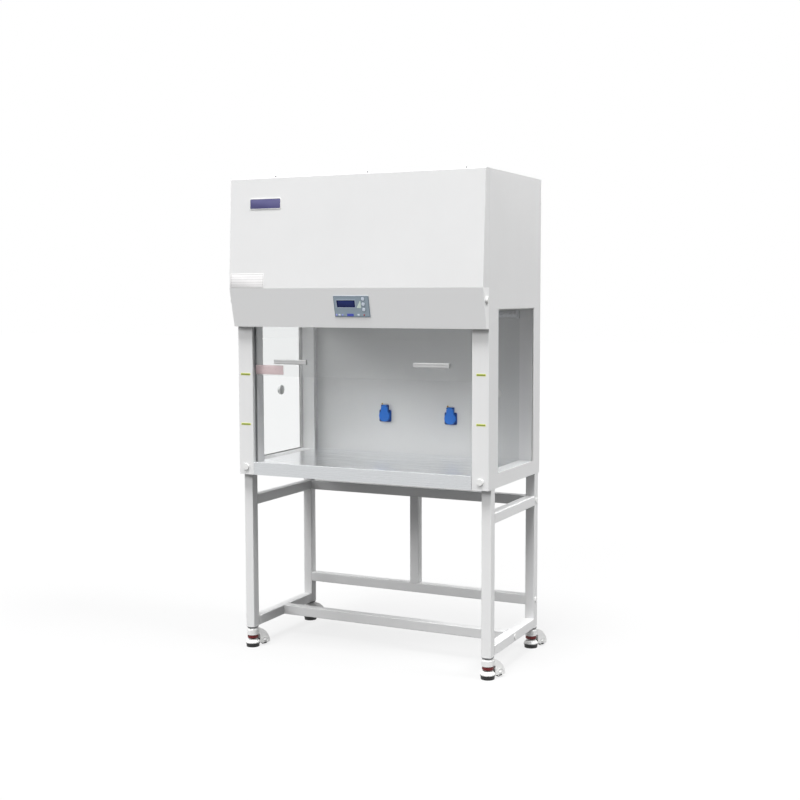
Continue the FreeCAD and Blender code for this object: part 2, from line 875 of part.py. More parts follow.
def control_panel():
    """The keypad plate and the electronics case behind it."""
    plate = slope_box(panel_x0, panel_x1, panel_top, panel_bottom, 0, panel_plate)
    walls = slope_box(case_x0, case_x1, case_top, case_bottom, -panel_case_depth, 0)
    wall = panel_case_wall
    hollow = slope_box(case_x0 + wall, case_x1 - wall, case_top + wall, case_bottom - wall,
                       -panel_case_depth + wall, 0)
    case = fuse([plate, walls.cut(hollow)])
    tools = [slope_box(display_centre - display_width / 2, display_centre + display_width / 2,
                       display_top, display_top + display_height, -1, panel_plate)]
    for down in round_key_downs():
        tools.append(on_slope(rod(round_key_radius + key_gap, V(round_key_place, -down, -1),
                                  AXIS_Z, panel_plate + 1)))
    half = wide_key_width / 2 + key_gap
    tall = wide_key_height / 2 + key_gap
    tools.append(slope_box(wide_key_place - half, wide_key_place + half,
                           wide_key_down - tall, wide_key_down + tall, -1, panel_plate))
    return cut(case, tools)


def display_window():
    gap = 0.1
    half = display_width / 2 - gap
    glass = slope_box(display_centre - half, display_centre + half, display_top + gap,
                      display_top + display_height - gap, -seat, panel_plate - 0.5)
    edge = half + display_board
    board = slope_box(display_centre - edge, display_centre + edge, display_top - display_board,
                      display_top + display_height + display_board, -5, -seat)
    return fuse([glass, board])


def round_key(down):
    top = panel_plate + key_proud
    flange_top = -seat
    rim = round_key_radius + key_rim
    cap = turned([
        (0, flange_top - key_flange), (rim, flange_top - key_flange),
        (rim, flange_top), (round_key_radius, flange_top),
        (round_key_radius, top - 0.6), (round_key_radius - 1, top), (0, top)])
    cap.translate(V(round_key_place, -down, 0))
    return on_slope(cap)


def wide_key():
    half = wide_key_width / 2
    tall = wide_key_height / 2
    top = panel_plate + key_proud
    cap = slope_box(wide_key_place - half, wide_key_place + half, wide_key_down - tall,
                    wide_key_down + tall, -seat, top)
    wide = half + key_rim
    flange = slope_box(wide_key_place - wide, wide_key_place + wide, wide_key_down - tall - key_rim,
                       wide_key_down + tall, -seat - key_flange, -seat)
    return fuse([cap, flange])


# Sockets on the back wall

lid_axis_y = back_wall_y - socket_plate - lid_barrel_radius - seat


def socket_base(x):
    z = base_z + socket_height
    plate = box(x - socket_width / 2, x + socket_width / 2, back_wall_y - socket_plate,
                back_wall_y, z - socket_tall / 2, z + socket_tall / 2)
    corners = [e for e in plate.Edges if abs(e.Length - socket_plate) < 0.01]
    plate = plate.makeFillet(socket_corner, corners)
    half = socket_body / 2
    body = box(x - half, x + half, back_wall_y, back_wall_y + socket_body_depth,
               z - half, z + half)
    well = rod(half - 2, V(x, back_wall_y - socket_plate, z), AXIS_Y, 18)
    pin_z = z + lid_pin_rise
    end = lid_neck / 2
    ears = []
    for side in (-1, 1):
        x0 = min(x + side * (end - lid_ear), x + side * end)
        ear = rod(lid_barrel_radius, V(x0, lid_axis_y, pin_z), AXIS_X, lid_ear)
        foot = box(x0, x0 + lid_ear, lid_axis_y, back_wall_y - socket_plate,
                   pin_z - lid_barrel_radius, pin_z + lid_barrel_radius)
        ears += [ear, foot]
    backing = box(x - end, x + end, back_wall_y - socket_plate, back_wall_y,
                  z + socket_tall / 2 - socket_corner, pin_z + lid_barrel_radius)
    pin = rod(lid_pin_radius, V(x - end, lid_axis_y, pin_z), AXIS_X, 2 * end)
    return fuse([plate, body, backing] + ears + [pin]).cut(well)


def socket_lid(x):
    """A round flap lid with a neck that reaches up to its hinge."""
    z = base_z + socket_height
    back = back_wall_y - socket_plate - seat
    front = back - lid_depth
    pin_z = z + lid_pin_rise
    neck_top = pin_z - lid_barrel_radius - 0.5
    half_neck = lid_neck / 2
    disc = rod(lid_radius, V(x, back, z), -AXIS_Y, lid_depth)
    neck = box(x - half_neck, x + half_neck, front, back, z, neck_top)
    hollow = rod(lid_radius - 4, V(x, back, z), -AXIS_Y, lid_depth - 3)
    inner = half_neck - lid_ear - seat
    barrel = rod(lid_barrel_radius, V(x - inner, lid_axis_y, pin_z), AXIS_X, 2 * inner)
    arm = box(x - inner, x + inner, front, lid_axis_y, neck_top - 2, pin_z)
    bore = rod(lid_pin_radius + slip, V(x - inner, lid_axis_y, pin_z), AXIS_X, 2 * inner)
    return cut(fuse([disc, neck, barrel, arm]), [hollow, bore])


# Caps and plugs

def round_plug(radius, neck, proud, depth):
    """A plug along Z: a tapered head above z = 0 and a neck below it."""
    return turned([
        (0, -depth), (neck, -depth), (neck, 0), (radius, 0), (radius - 1, proud), (0, proud)])


def facing(shape, direction, place):
    """Turns a shape drawn along Z to face along direction, at place."""
    copy = shape.copy()
    copy.Placement = FreeCAD.Placement(place, FreeCAD.Rotation(AXIS_Z, direction))
    return copy


def bolt_caps():
    cap = round_plug(cap_flange_radius, access_radius - 0.1, cap_flange, tube_wall + 1)
    caps = []
    for y, z in bolt_places():
        caps += both_sides(facing(cap, AXIS_X, V(leg_x + half_tube, y, z)))
    return caps


def plugs():
    column_cap = round_plug(column_cap_radius, column_cap_radius - 3.1, plug_proud, sheet + 2)
    solids = both_sides(facing(column_cap, -AXIS_Y,
                               V(column_cap_place, front_y, base_z + column_cap_height)))
    wall_plug = round_plug(port_plug_radius, port_plug_radius - 3.1, plug_proud, sheet + 4)
    solids.append(facing(wall_plug, -AXIS_Y,
                         V(port_plug_place, back_wall_y, base_z + port_plug_height)))
    glass_plug = round_plug(glass_plug_radius, glass_plug_radius - 4.1, plug_proud,
                            glass_thickness + 3)
    inner_face = -half_width + sheet + glass_thickness
    solids.append(facing(glass_plug, AXIS_X,
                         V(inner_face, front_y + glass_plug_setback, base_z + port_plug_height)))
    return solids


def glass_port():
    port = V(-half_width, front_y + glass_plug_setback, base_z + port_plug_height)
    return rod(glass_plug_radius - 4, port, AXIS_X, sheet + 2 * glass_thickness)


# Air system

filter_y0 = front_y + plenum_front + filter_front_gap
filter_z0 = ceiling_z + 10
fan_plate_z = ceiling_z + fan_plate_rise
fan_y = front_y + fan_setback
impeller_top = fan_plate_z - fan_gap
impeller_bottom = impeller_top - impeller_height
motor_top = impeller_bottom - 4
motor_bottom = motor_top - motor_height


def diffuser_plate():
    """The slotted ceiling plate under the filter, with upturned edges."""
    x = inner_half - panel_gap
    y0 = front_y + plenum_front - 2
    y1 = back_wall_y - panel_gap
    plate = box(-x, x, y0, y1, ceiling_z, ceiling_z + sheet)
    rim = box(-x, x, y0, y1, ceiling_z, filter_z0)
    rim = rim.cut(box(-x + sheet, x - sheet, y0 + sheet, y1 - sheet, ceiling_z, filter_z0))
    pitch = (y1 - y0 - 40) / diffuser_slots
    tools = []
    for number in range(diffuser_slots):
        y = y0 + 20 + pitch * (number + 0.5)
        for side in (-1, 1):
            x0, x1 = sorted((side * 15, side * (x - 25)))
            tools.append(box(x0, x1, y - diffuser_slot_width / 2, y + diffuser_slot_width / 2,
                             ceiling_z, ceiling_z + sheet))
    return cut(fuse([plate, rim]), tools)


def hepa_filter():
    """A filter frame with its pleated pack."""
    half = filter_width / 2
    frame = box(-half, half, filter_y0, filter_y0 + filter_depth, filter_z0,
                filter_z0 + filter_height)
    inset = filter_frame
    opening = box(-half + inset, half - inset, filter_y0 + inset,
                  filter_y0 + filter_depth - inset, filter_z0, filter_z0 + filter_height)
    pack = box(-half + inset, half - inset, filter_y0 + inset,
               filter_y0 + filter_depth - inset, filter_z0 + 6, filter_z0 + filter_height - 6)
    return fuse([frame.cut(opening), pack])


def plenum_box():
    """The pressure box: a front wall and the fan plate with its inlet ring."""
    x = inner_half - panel_gap
    y0 = front_y + plenum_front
    y1 = back_y - sheet - panel_gap
    front = box(-x, x, y0, y0 + sheet, filter_z0 + seat, panel_top_z)
    ledge = box(-x, x, y0, y1, filter_z0 + filter_height, filter_z0 + filter_height + sheet)
    ledge = ledge.cut(box(-filter_width / 2 + filter_frame, filter_width / 2 - filter_frame,
                          filter_y0 + filter_frame, filter_y0 + filter_depth - filter_frame,
                          filter_z0, fan_plate_z))
    plate = box(-x, x, y0, y1, fan_plate_z, fan_plate_z + sheet)
    ring = rod(inlet_radius + sheet, V(0, fan_y, fan_plate_z - fan_gap - 4), AXIS_Z,
               fan_gap + 4 + sheet)
    inlet = rod(inlet_radius, V(0, fan_y, fan_plate_z - 20), AXIS_Z, 40)
    return cut(fuse([front, ledge, plate, ring]), [inlet])


def impeller():
    """A backward-curved impeller: hub disc, shroud ring and curved blades."""
    hub = rod(impeller_radius, V(0, 0, 0), AXIS_Z, 3)
    hub = hub.cut(rod(motor_shaft_radius + slip, V(0, 0, 0), AXIS_Z, 3))
    eye = inlet_radius + sheet + 3
    shroud = rod(impeller_radius, V(0, 0, impeller_height - 2), AXIS_Z, 2)
    shroud = shroud.cut(rod(eye, V(0, 0, impeller_height - 2), AXIS_Z, 2))
    curve = impeller_radius * 0.75
    outer = rod(curve, V(0, 0, 0), AXIS_Z, impeller_height)
    blade = outer.cut(rod(curve - blade_thickness, V(0, 0, 0), AXIS_Z, impeller_height))
    blade.translate(V(impeller_radius * 0.72, -curve * 0.62, 0))
    ring = rod(impeller_radius - 2, V(0, 0, 0), AXIS_Z, impeller_height)
    ring = ring.cut(rod(eye + 4, V(0, 0, 0), AXIS_Z, impeller_height))
    wedge = box(0, impeller_radius, 0, impeller_radius, 0, impeller_height)
    blade = blade.common(ring).common(wedge)
    blades = []
    for number in range(impeller_blades):
        copy = blade.copy()
        copy.rotate(V(0, 0, 0), AXIS_Z, 360 * number / impeller_blades)
        blades.append(copy)
    wheel = fuse([hub, shroud] + blades)
    wheel.translate(V(0, fan_y, impeller_bottom))
    return wheel


def fan_motor():
    """The motor on a cross plate that hangs from the fan plate by four posts."""
    body = rod(motor_radius, V(0, fan_y, motor_bottom), AXIS_Z, motor_height)
    shaft = rod(motor_shaft_radius, V(0, fan_y, motor_top), AXIS_Z, 12)
    reach = motor_post_radius
    bars = [
        box(-reach - 8, reach + 8, fan_y - 12, fan_y + 12, motor_bottom - 3, motor_bottom),
    ]
    posts = []
    for side in (-1, 1):
        posts.append(rod(6, V(side * reach, fan_y, motor_bottom - 3), AXIS_Z,
                         fan_plate_z - motor_bottom + 3))
    return fuse([body, shaft] + bars + posts)


def lamp(radius, y):
    """A lamp tube with a holder at each end, between the columns."""
    z = ceiling_z - lamp_drop
    reach = inner_half - seat
    tube = rod(radius, V(-reach, y, z), AXIS_X, 2 * reach)
    holders = []
    for side in (-1, 1):
        x0, x1 = sorted((side * reach, side * (reach - lamp_holder)))
        holders.append(box(x0, x1, y - radius - 3, y + radius + 3, z - radius - 3, ceiling_z - 3))
    return fuse([tube] + holders)


def main():
    os.makedirs("parts", exist_ok=True)

    right_frame = side_frame_right()
    export("side_frame_right", right_frame)
    export("side_frame_left", [mirrored(tube) for tube in right_frame])
    export("rear_rail_upper", [cross_rail(rear_leg_y, upper_rail_z - tube_size)])
    export("rear_rail_lower", [cross_rail(rear_leg_y, rear_lower_z)])
    export("lower_stretcher", [cross_rail(stretcher_y + half_tube, lower_rail_z - tube_size)])
    export("rear_centre_post", [centre_post()])
    export("frame_bolts", frame_bolts())

    stems = []
    for name, x, y in leg_places:
        stems.append(placed(caster_stem(), x, y))
        export("caster_body_" + name, [placed(caster_body(), x, y, caster_angle)])
        export("caster_wheel_" + name, [placed(caster_wheel(), x, y, caster_angle)])
        export("caster_thumbwheel_" + name, [placed(thumbwheel(), x, y, caster_angle)])
        export("foot_pad_" + name, [placed(foot_pad(), x, y)])
    export("caster_stems", stems)

    right_panel = side_panel_right()
    export("side_panel_right", [right_panel])
    export("side_panel_left", [mirrored(right_panel)])
    right_glass = side_glass_right()
    export("side_glass_right", [right_glass])
    export("side_glass_left", [mirrored(right_glass).cut(glass_port())])
    export("caps_and_plugs", bolt_caps() + plugs())
    export("work_tray", [work_tray()])
    export("base_pan", [base_pan()])
    export("back_wall", [back_wall()])
    export("rear_panel", [rear_panel()])
    export("top_panel", [top_panel()])

    export("sash_guides", both_sides(sash_guide_right()))
    export("sash_glass", [sash_glass()])
    export("sash_fittings", sash_fittings())
    sides = (-balancer_spacing, balancer_spacing)
    export("balancer_tapes", [balancer_tape(x) for x in sides])
    export("balancer_drums", [balancer_drum(x) for x in sides])
    export("balancer_brackets", [balancer_bracket(x) for x in sides])

    export("front_cover", [front_cover()])
    export("cover_knob_left", [cover_knob(-1)])
    export("cover_knob_right", [cover_knob(1)])
    centres = (-hinge_spacing, 0, hinge_spacing)
    export("hinge_leaves_fixed", [fixed_hinge(centre) for centre in centres])
    export("hinge_leaves_cover", [cover_hinge(centre) for centre in centres])

    export("control_panel", [control_panel()])
    export("display_window", [display_window()])
    for name, down in zip(("fan_key", "lamp_key", "uv_key"), round_key_downs()):
        export(name, [round_key(down)])
    export("power_key", [wide_key()])

    export("socket_bases", [socket_base(x) for x in socket_places])
    export("socket_lid_left", [socket_lid(socket_places[0])])
    export("socket_lid_right", [socket_lid(socket_places[1])])

    export("diffuser_plate", [diffuser_plate()])
    export("hepa_filter", [hepa_filter()])
    export("plenum_box", [plenum_box()])
    export("impeller", [impeller()])
    export("fan_motor", [fan_motor()])
    export("lamps", [lamp(lamp_radius, front_y + lamp_setback),
                     lamp(uv_lamp_radius, back_wall_y - uv_lamp_radius - 4)])


main()
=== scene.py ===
import math

import bmesh
import bpy
from mathutils import Matrix, Vector


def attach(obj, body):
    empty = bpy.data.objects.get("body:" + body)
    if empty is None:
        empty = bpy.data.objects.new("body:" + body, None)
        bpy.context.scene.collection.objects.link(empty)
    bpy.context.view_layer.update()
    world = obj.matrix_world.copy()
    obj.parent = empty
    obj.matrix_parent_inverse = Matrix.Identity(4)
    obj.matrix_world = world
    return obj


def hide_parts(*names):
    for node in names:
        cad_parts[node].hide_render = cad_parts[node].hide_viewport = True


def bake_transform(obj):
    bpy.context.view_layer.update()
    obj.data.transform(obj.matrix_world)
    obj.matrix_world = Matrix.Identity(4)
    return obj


# The looks of a vertical laminar flow cabinet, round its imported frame.
# Lengths are in millimetres until a mesh is made, but the camera, the floor and the textures
# are in metres. The frame's axes are the part's own.

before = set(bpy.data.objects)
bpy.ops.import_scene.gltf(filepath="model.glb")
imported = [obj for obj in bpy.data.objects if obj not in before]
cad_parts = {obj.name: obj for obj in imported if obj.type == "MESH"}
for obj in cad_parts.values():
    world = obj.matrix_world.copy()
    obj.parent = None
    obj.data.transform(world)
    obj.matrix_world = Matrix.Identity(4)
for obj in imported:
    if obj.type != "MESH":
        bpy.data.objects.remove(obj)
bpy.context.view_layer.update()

MM = 0.001

# Real places of the carrying faces, as the part has them
half_width = 525.0
front_y = -258.96
back_y = 281.04
top_z = 1842.0
work_z = 751.0
ceiling_z = 1350.0
fold_z = 1425.0
opening_z = 1278.5
window_front_y = -168.96
window_rear_y = 207.04
pane_front_y = -180.46
pane_rear_y = 218.54
pane_outer = 523.5
pane_inner = 518.5
sash_y = -238.96
handle_middle = 297.0
handle_half = 71.0
handle_z = 1143.5
hinge_z = 1846.8
hinge_middles = (-392, 0, 392)
hinge_half = 45.0
socket_middles = (-134, 161)
socket_z = 901.0
socket_front_y = 238.04
leg_x = 505.0
front_leg_y = -209.96
rear_leg_y = 251.04
legs = {
    "front_left": (-leg_x, front_leg_y), "front_right": (leg_x, front_leg_y),
    "rear_left": (-leg_x, rear_leg_y), "rear_right": (leg_x, rear_leg_y),
}
caster_turn = math.radians(56)
wheel_offset = 47.0
wheel_z = 20.0
hood_half = 13.5
cover_top_depth = 34.5
cover_fold_depth = 56.0
cover_bottom_depth = 23.5


# Camera at the photograph's place, on 36 mm of sensor

camera_place = Vector((2.18436, -4.40782, 1.40452))
camera_yaw = math.radians(25.840)
camera_pitch = math.radians(4.8295)
camera_roll = math.radians(-0.13389)
camera_lens = 56.736


def make_camera():
    data = bpy.data.cameras.new("camera")
    data.sensor_width = 36.0
    data.lens = camera_lens
    data.clip_start = 0.05
    data.clip_end = 100.0
    camera = bpy.data.objects.new("camera", data)
    bpy.context.scene.collection.objects.link(camera)
    ahead = Vector((-math.sin(camera_yaw) * math.cos(camera_pitch),
                    math.cos(camera_yaw) * math.cos(camera_pitch),
                    -math.sin(camera_pitch)))
    right = Vector((math.cos(camera_yaw), math.sin(camera_yaw), 0))
    up = right.cross(ahead)
    rolled_right = right * math.cos(camera_roll) + up * math.sin(camera_roll)
    rolled_up = up * math.cos(camera_roll) - right * math.sin(camera_roll)
    turn = Matrix((rolled_right, rolled_up, -ahead)).transposed().to_4x4()
    camera.matrix_world = Matrix.Translation(camera_place) @ turn
    bpy.context.scene.camera = camera


# Light, world and floor; each sun is a name, an azimuth, an elevation and a strength

sun_softness = 22
suns = (("key", 0, 72, 3.45), ("front", -4, 32, 0.98), ("left", -60, 32, 0.73),
        ("right", 90, 50, 2.05), ("back", 180, 15, 1.3))
dome_strength = 0.21
floor_reach = 30.0
floor_level = -0.0003
floor_glow = 0.80


def make_sun(name, azimuth, elevation, strength):
    """A lamp without falloff; azimuth 0 is in front of the cabinet and 90 on its right."""
    data = bpy.data.lights.new(name, "SUN")
    data.energy = strength
    data.angle = math.radians(sun_softness)
    lamp = bpy.data.objects.new(name, data)
    bpy.context.scene.collection.objects.link(lamp)
    a = math.radians(azimuth)
    e = math.radians(elevation)
    towards = Vector((math.sin(a) * math.cos(e), -math.cos(a) * math.cos(e), math.sin(e)))
    lamp.rotation_mode = "QUATERNION"
    lamp.rotation_quaternion = towards.to_track_quat("Z", "Y")


def combine(tree, operation, first, second):
    """A math node over a socket and a second socket or a number."""
    node = tree.nodes.new("ShaderNodeMath")
    node.operation = operation
    tree.links.new(first, node.inputs[0])
    if isinstance(second, float):
        node.inputs[1].default_value = second
    else:
        tree.links.new(second, node.inputs[1])
    return node.outputs[0]


def seen_ray(tree):
    """1 for a ray that shows the backdrop, also mirrored or through glass, unless scattered."""
    path = tree.nodes.new("ShaderNodeLightPath")
    seen = combine(tree, "MAXIMUM", path.outputs["Is Camera Ray"], path.outputs["Is Glossy Ray"])
    seen = combine(tree, "MAXIMUM", seen, path.outputs["Is Transmission Ray"])
    unscattered = combine(tree, "LESS_THAN", path.outputs["Diffuse Depth"], 0.5)
    return combine(tree, "MULTIPLY", seen, unscattered)


def make_world():
    world = bpy.data.worlds.new("studio")
    bpy.context.scene.world = world
    world.use_nodes = True
    tree = world.node_tree
    tree.nodes.clear()
    dome = tree.nodes.new("ShaderNodeBackground")
    dome.inputs["Color"].default_value = (0.97, 0.985, 1.0, 1)
    dome.inputs["Strength"].default_value = dome_strength
    white = tree.nodes.new("ShaderNodeBackground")
    white.inputs["Color"].default_value = (1, 1, 1, 1)
    white.inputs["Strength"].default_value = 1.0
    mix = tree.nodes.new("ShaderNodeMixShader")
    tree.links.new(seen_ray(tree), mix.inputs["Fac"])
    tree.links.new(dome.outputs[0], mix.inputs[1])
    tree.links.new(white.outputs[0], mix.inputs[2])
    out = tree.nodes.new("ShaderNodeOutputWorld")
    tree.links.new(mix.outputs[0], out.inputs["Surface"])


def make_floor():
    """A plain floor that is white to the eye, keeps the shadow and bounces little light."""
    mesh = bpy.data.meshes.new("floor")
    corners = [(floor_reach * x, floor_reach * y, floor_level)
               for x, y in ((-1, -1), (1, -1), (1, 1), (-1, 1))]
    mesh.from_pydata(corners, [], [(0, 1, 2, 3)])
    floor = bpy.data.objects.new("floor", mesh)
    bpy.context.scene.collection.objects.link(floor)
    material = bpy.data.materials.new("floor")
    material.use_nodes = True
    tree = material.node_tree
    tree.nodes.clear()
    diffuse = tree.nodes.new("ShaderNodeBsdfDiffuse")
    diffuse.inputs["Color"].default_value = (0.10, 0.10, 0.10, 1)
    glow = tree.nodes.new("ShaderNodeEmission")
    glow.inputs["Strength"].default_value = floor_glow
    dark = tree.nodes.new("ShaderNodeEmission")
    dark.inputs["Strength"].default_value = 0.0
    mix = tree.nodes.new("ShaderNodeMixShader")
    tree.links.new(seen_ray(tree), mix.inputs["Fac"])
    tree.links.new(dark.outputs[0], mix.inputs[1])
    tree.links.new(glow.outputs[0], mix.inputs[2])
    total = tree.nodes.new("ShaderNodeAddShader")
    tree.links.new(diffuse.outputs[0], total.inputs[0])
    tree.links.new(mix.outputs[0], total.inputs[1])
    out = tree.nodes.new("ShaderNodeOutputMaterial")
    tree.links.new(total.outputs[0], out.inputs["Surface"])
    mesh.materials.append(material)


# Materials

def start_material(name, colour, roughness, metallic=0.0):
    material = bpy.data.materials.new(name)
    material.use_nodes = True
    tree = material.node_tree
    shader = tree.nodes["Principled BSDF"]
    shader.inputs["Base Color"].default_value = (*colour, 1)
    shader.inputs["Roughness"].default_value = roughness
    shader.inputs["Metallic"].default_value = metallic
    return material, tree, shader


def noise(tree, scale, stretch=(1, 1, 1), detail=2.0):
    """A noise over the object's own coordinates, in features per metre."""
    place = tree.nodes.new("ShaderNodeTexCoord")
    mapping = tree.nodes.new("ShaderNodeMapping")
    mapping.inputs["Scale"].default_value = stretch
    tree.links.new(place.outputs["Object"], mapping.inputs["Vector"])
    texture = tree.nodes.new("ShaderNodeTexNoise")
    texture.inputs["Scale"].default_value = scale
    texture.inputs["Detail"].default_value = detail
    tree.links.new(mapping.outputs["Vector"], texture.inputs["Vector"])
    return texture.outputs["Fac"]


def spread(tree, value, low, high):
    """Stretches a noise's middle range over low to high."""
    node = tree.nodes.new("ShaderNodeMapRange")
    node.inputs["From Min"].default_value = 0.3
    node.inputs["From Max"].default_value = 0.7
    node.inputs["To Min"].default_value = low
    node.inputs["To Max"].default_value = high
    tree.links.new(value, node.inputs["Value"])
    return node.outputs["Result"]


def blend_colours(tree, factor, first, second):
    node = tree.nodes.new("ShaderNodeMix")
    node.data_type = "RGBA"
    tree.links.new(factor, node.inputs["Factor"])
    for number, colour in ((6, first), (7, second)):
        if isinstance(colour, tuple):
            node.inputs[number].default_value = (*colour, 1)
        else:
            tree.links.new(colour, node.inputs[number])
    return node.outputs[2]


def face_direction(tree):
    """The three parts of the face's own normal, as sockets X, Y and Z."""
    geometry = tree.nodes.new("ShaderNodeNewGeometry")
    split = tree.nodes.new("ShaderNodeSeparateXYZ")
    tree.links.new(geometry.outputs["True Normal"], split.inputs[0])
    return split.outputs


def split_by_height(tree, height, below, above):
    """A colour that changes at a height on the piece itself, in millimetres."""
    soft = 0.0002
    place = tree.nodes.new("ShaderNodeTexCoord")
    split = tree.nodes.new("ShaderNodeSeparateXYZ")
    tree.links.new(place.outputs["Object"], split.inputs[0])
    step = tree.nodes.new("ShaderNodeMapRange")
    step.inputs["From Min"].default_value = height * MM - soft
    step.inputs["From Max"].default_value = height * MM + soft
    tree.links.new(split.outputs["Z"], step.inputs["Value"])
    return blend_colours(tree, step.outputs["Result"], below, above)


def add_bump(tree, shader, height, distance, strength):
    node = tree.nodes.new("ShaderNodeBump")
    node.inputs["Distance"].default_value = distance
    node.inputs["Strength"].default_value = strength
    tree.links.new(height, node.inputs["Height"])
    tree.links.new(node.outputs["Normal"], shader.inputs["Normal"])


def shade(colour, factor):
    return tuple(min(1.0, part * factor) for part in colour)


def mottle(tree, shader, value, colour, factor):
    """A colour that runs between a darker shade and itself with a noise."""
    cloud = spread(tree, value, 0.0, 1.0)
    tree.links.new(blend_colours(tree, cloud, shade(colour, factor), colour),
                   shader.inputs["Base Color"])


def vary_roughness(tree, shader, value, low, high):
    tree.links.new(spread(tree, value, low, high), shader.inputs["Roughness"])


def painted(name, colour, roughness=0.36):
    """Powder coat: a fine orange peel, and a colour that is hardly cloudy."""
    material, tree, shader = start_material(name, colour, roughness)
    mottle(tree, shader, noise(tree, 5.0, detail=3.0), colour, 0.975)
    vary_roughness(tree, shader, noise(tree, 140.0), roughness - 0.05, roughness + 0.06)
    add_bump(tree, shader, noise(tree, 620.0), 0.00005, 0.35)
    return material


def paint_lit_below_fold(name, colour, slope_painted_light):
    """The powder coat of the front cover, with painted light: below its fold the slope is painted
    brighter.
    """
    material = painted(name, colour)
    tree = material.node_tree
    shader = tree.nodes["Principled BSDF"]
    upper = shader.inputs["Base Color"].links[0].from_socket
    tree.links.new(split_by_height(tree, fold_z, slope_painted_light, upper), shader.inputs["Base Color"])
    return material


def brushed(name, colour, lit_top_colour, stretch, roughness):
    """Brushed sheet, with painted light making its upward faces paler, and its grain along the
    axis that stretch leaves long.
    """
    material, tree, shader = start_material(name, colour, roughness, 1.0)
    grain = noise(tree, 1.0, stretch, 3.0)
    lit_top_mask = face_direction(tree)["Z"]
    dull = blend_colours(tree, lit_top_mask, shade(colour, 0.93), shade(lit_top_colour, 0.95))
    bright = blend_colours(tree, lit_top_mask, colour, lit_top_colour)
    tree.links.new(blend_colours(tree, spread(tree, grain, 0.0, 1.0), dull, bright),
                   shader.inputs["Base Color"])
    vary_roughness(tree, shader, grain, roughness - 0.05, roughness + 0.08)
    add_bump(tree, shader, grain, 0.00003, 0.25)
    shader.inputs["Anisotropic"].default_value = 0.35
    return material


def metal(name, colour, roughness):
    """Plated or cast metal with small stains in its shine."""
    material, tree, shader = start_material(name, colour, roughness, 1.0)
    spots = noise(tree, 160.0, detail=4.0)
    mottle(tree, shader, spots, colour, 0.86)
    vary_roughness(tree, shader, spots, roughness - 0.08, roughness + 0.1)
    add_bump(tree, shader, noise(tree, 900.0), 0.00002, 0.3)
    return material


def plastic(name, colour, roughness, grain=900.0, depth=0.35, coat=0.0):
    """Moulded plastic with a fine spark-eroded grain."""
    material, tree, shader = start_material(name, colour, roughness)
    mottle(tree, shader, noise(tree, 30.0, detail=3.0), colour, 0.94)
    vary_roughness(tree, shader, noise(tree, 220.0), roughness - 0.05, roughness + 0.05)
    add_bump(tree, shader, noise(tree, grain), 0.00004, depth)
    shader.inputs["Coat Weight"].default_value = coat
    return material


def foot_rubber(name):
    """The levelling foot: a black rubber sole, a white cup over it and a steel stud."""
    material, tree, shader = start_material(name, (0.02, 0.02, 0.022), 0.5)
    cup = split_by_height(tree, 15.8, (0.010, 0.010, 0.011), (0.80, 0.80, 0.79))
    whole = split_by_height(tree, 30.2, cup, (0.42, 0.42, 0.44))
    tree.links.new(whole, shader.inputs["Base Color"])
    vary_roughness(tree, shader, noise(tree, 260.0), 0.40, 0.56)
    add_bump(tree, shader, noise(tree, 750.0, detail=3.0), 0.00008, 0.5)
    return material


def pane(name, colour, shadow, ior, face_axis, edge_colour):
    """Clear glass that lets lamps through, with tinted edges; face_axis is across the pane."""
    material, tree, shader = start_material(name, colour, 0.0)
    shader.inputs["Transmission Weight"].default_value = 1.0
    shader.inputs["IOR"].default_value = ior
    size = tree.nodes.new("ShaderNodeMath")
    size.operation = "ABSOLUTE"
    tree.links.new(face_direction(tree)[face_axis], size.inputs[0])
    tree.links.new(blend_colours(tree, size.outputs[0], edge_colour, colour),
                   shader.inputs["Base Color"])
    clear = tree.nodes.new("ShaderNodeBsdfTransparent")
    clear.inputs["Color"].default_value = (*shadow, 1)
    path = tree.nodes.new("ShaderNodeLightPath")
    mix = tree.nodes.new("ShaderNodeMixShader")
    tree.links.new(path.outputs["Is Shadow Ray"], mix.inputs["Fac"])
    tree.links.new(shader.outputs[0], mix.inputs[1])
    tree.links.new(clear.outputs[0], mix.inputs[2])
    tree.links.new(mix.outputs[0], tree.nodes["Material Output"].inputs["Surface"])
    return material


def pleated(name, colour):
    """Filter paper in narrow pleats across the pack, its colour darker along each fold as painted
    shade.
    """
    material, tree, shader = start_material(name, colour, 0.85)
    place = tree.nodes.new("ShaderNodeTexCoord")
    wave = tree.nodes.new("ShaderNodeTexWave")
    wave.inputs["Scale"].default_value = 42.0
    wave.inputs["Distortion"].default_value = 0.3
    tree.links.new(place.outputs["Object"], wave.inputs["Vector"])
    # Painted shade: the colour darkens along the pleats' folds.
    tree.links.new(blend_colours(tree, wave.outputs["Fac"], shade(colour, 0.7), colour),
                   shader.inputs["Base Color"])
    add_bump(tree, shader, wave.outputs["Fac"], 0.002, 0.8)
    return material


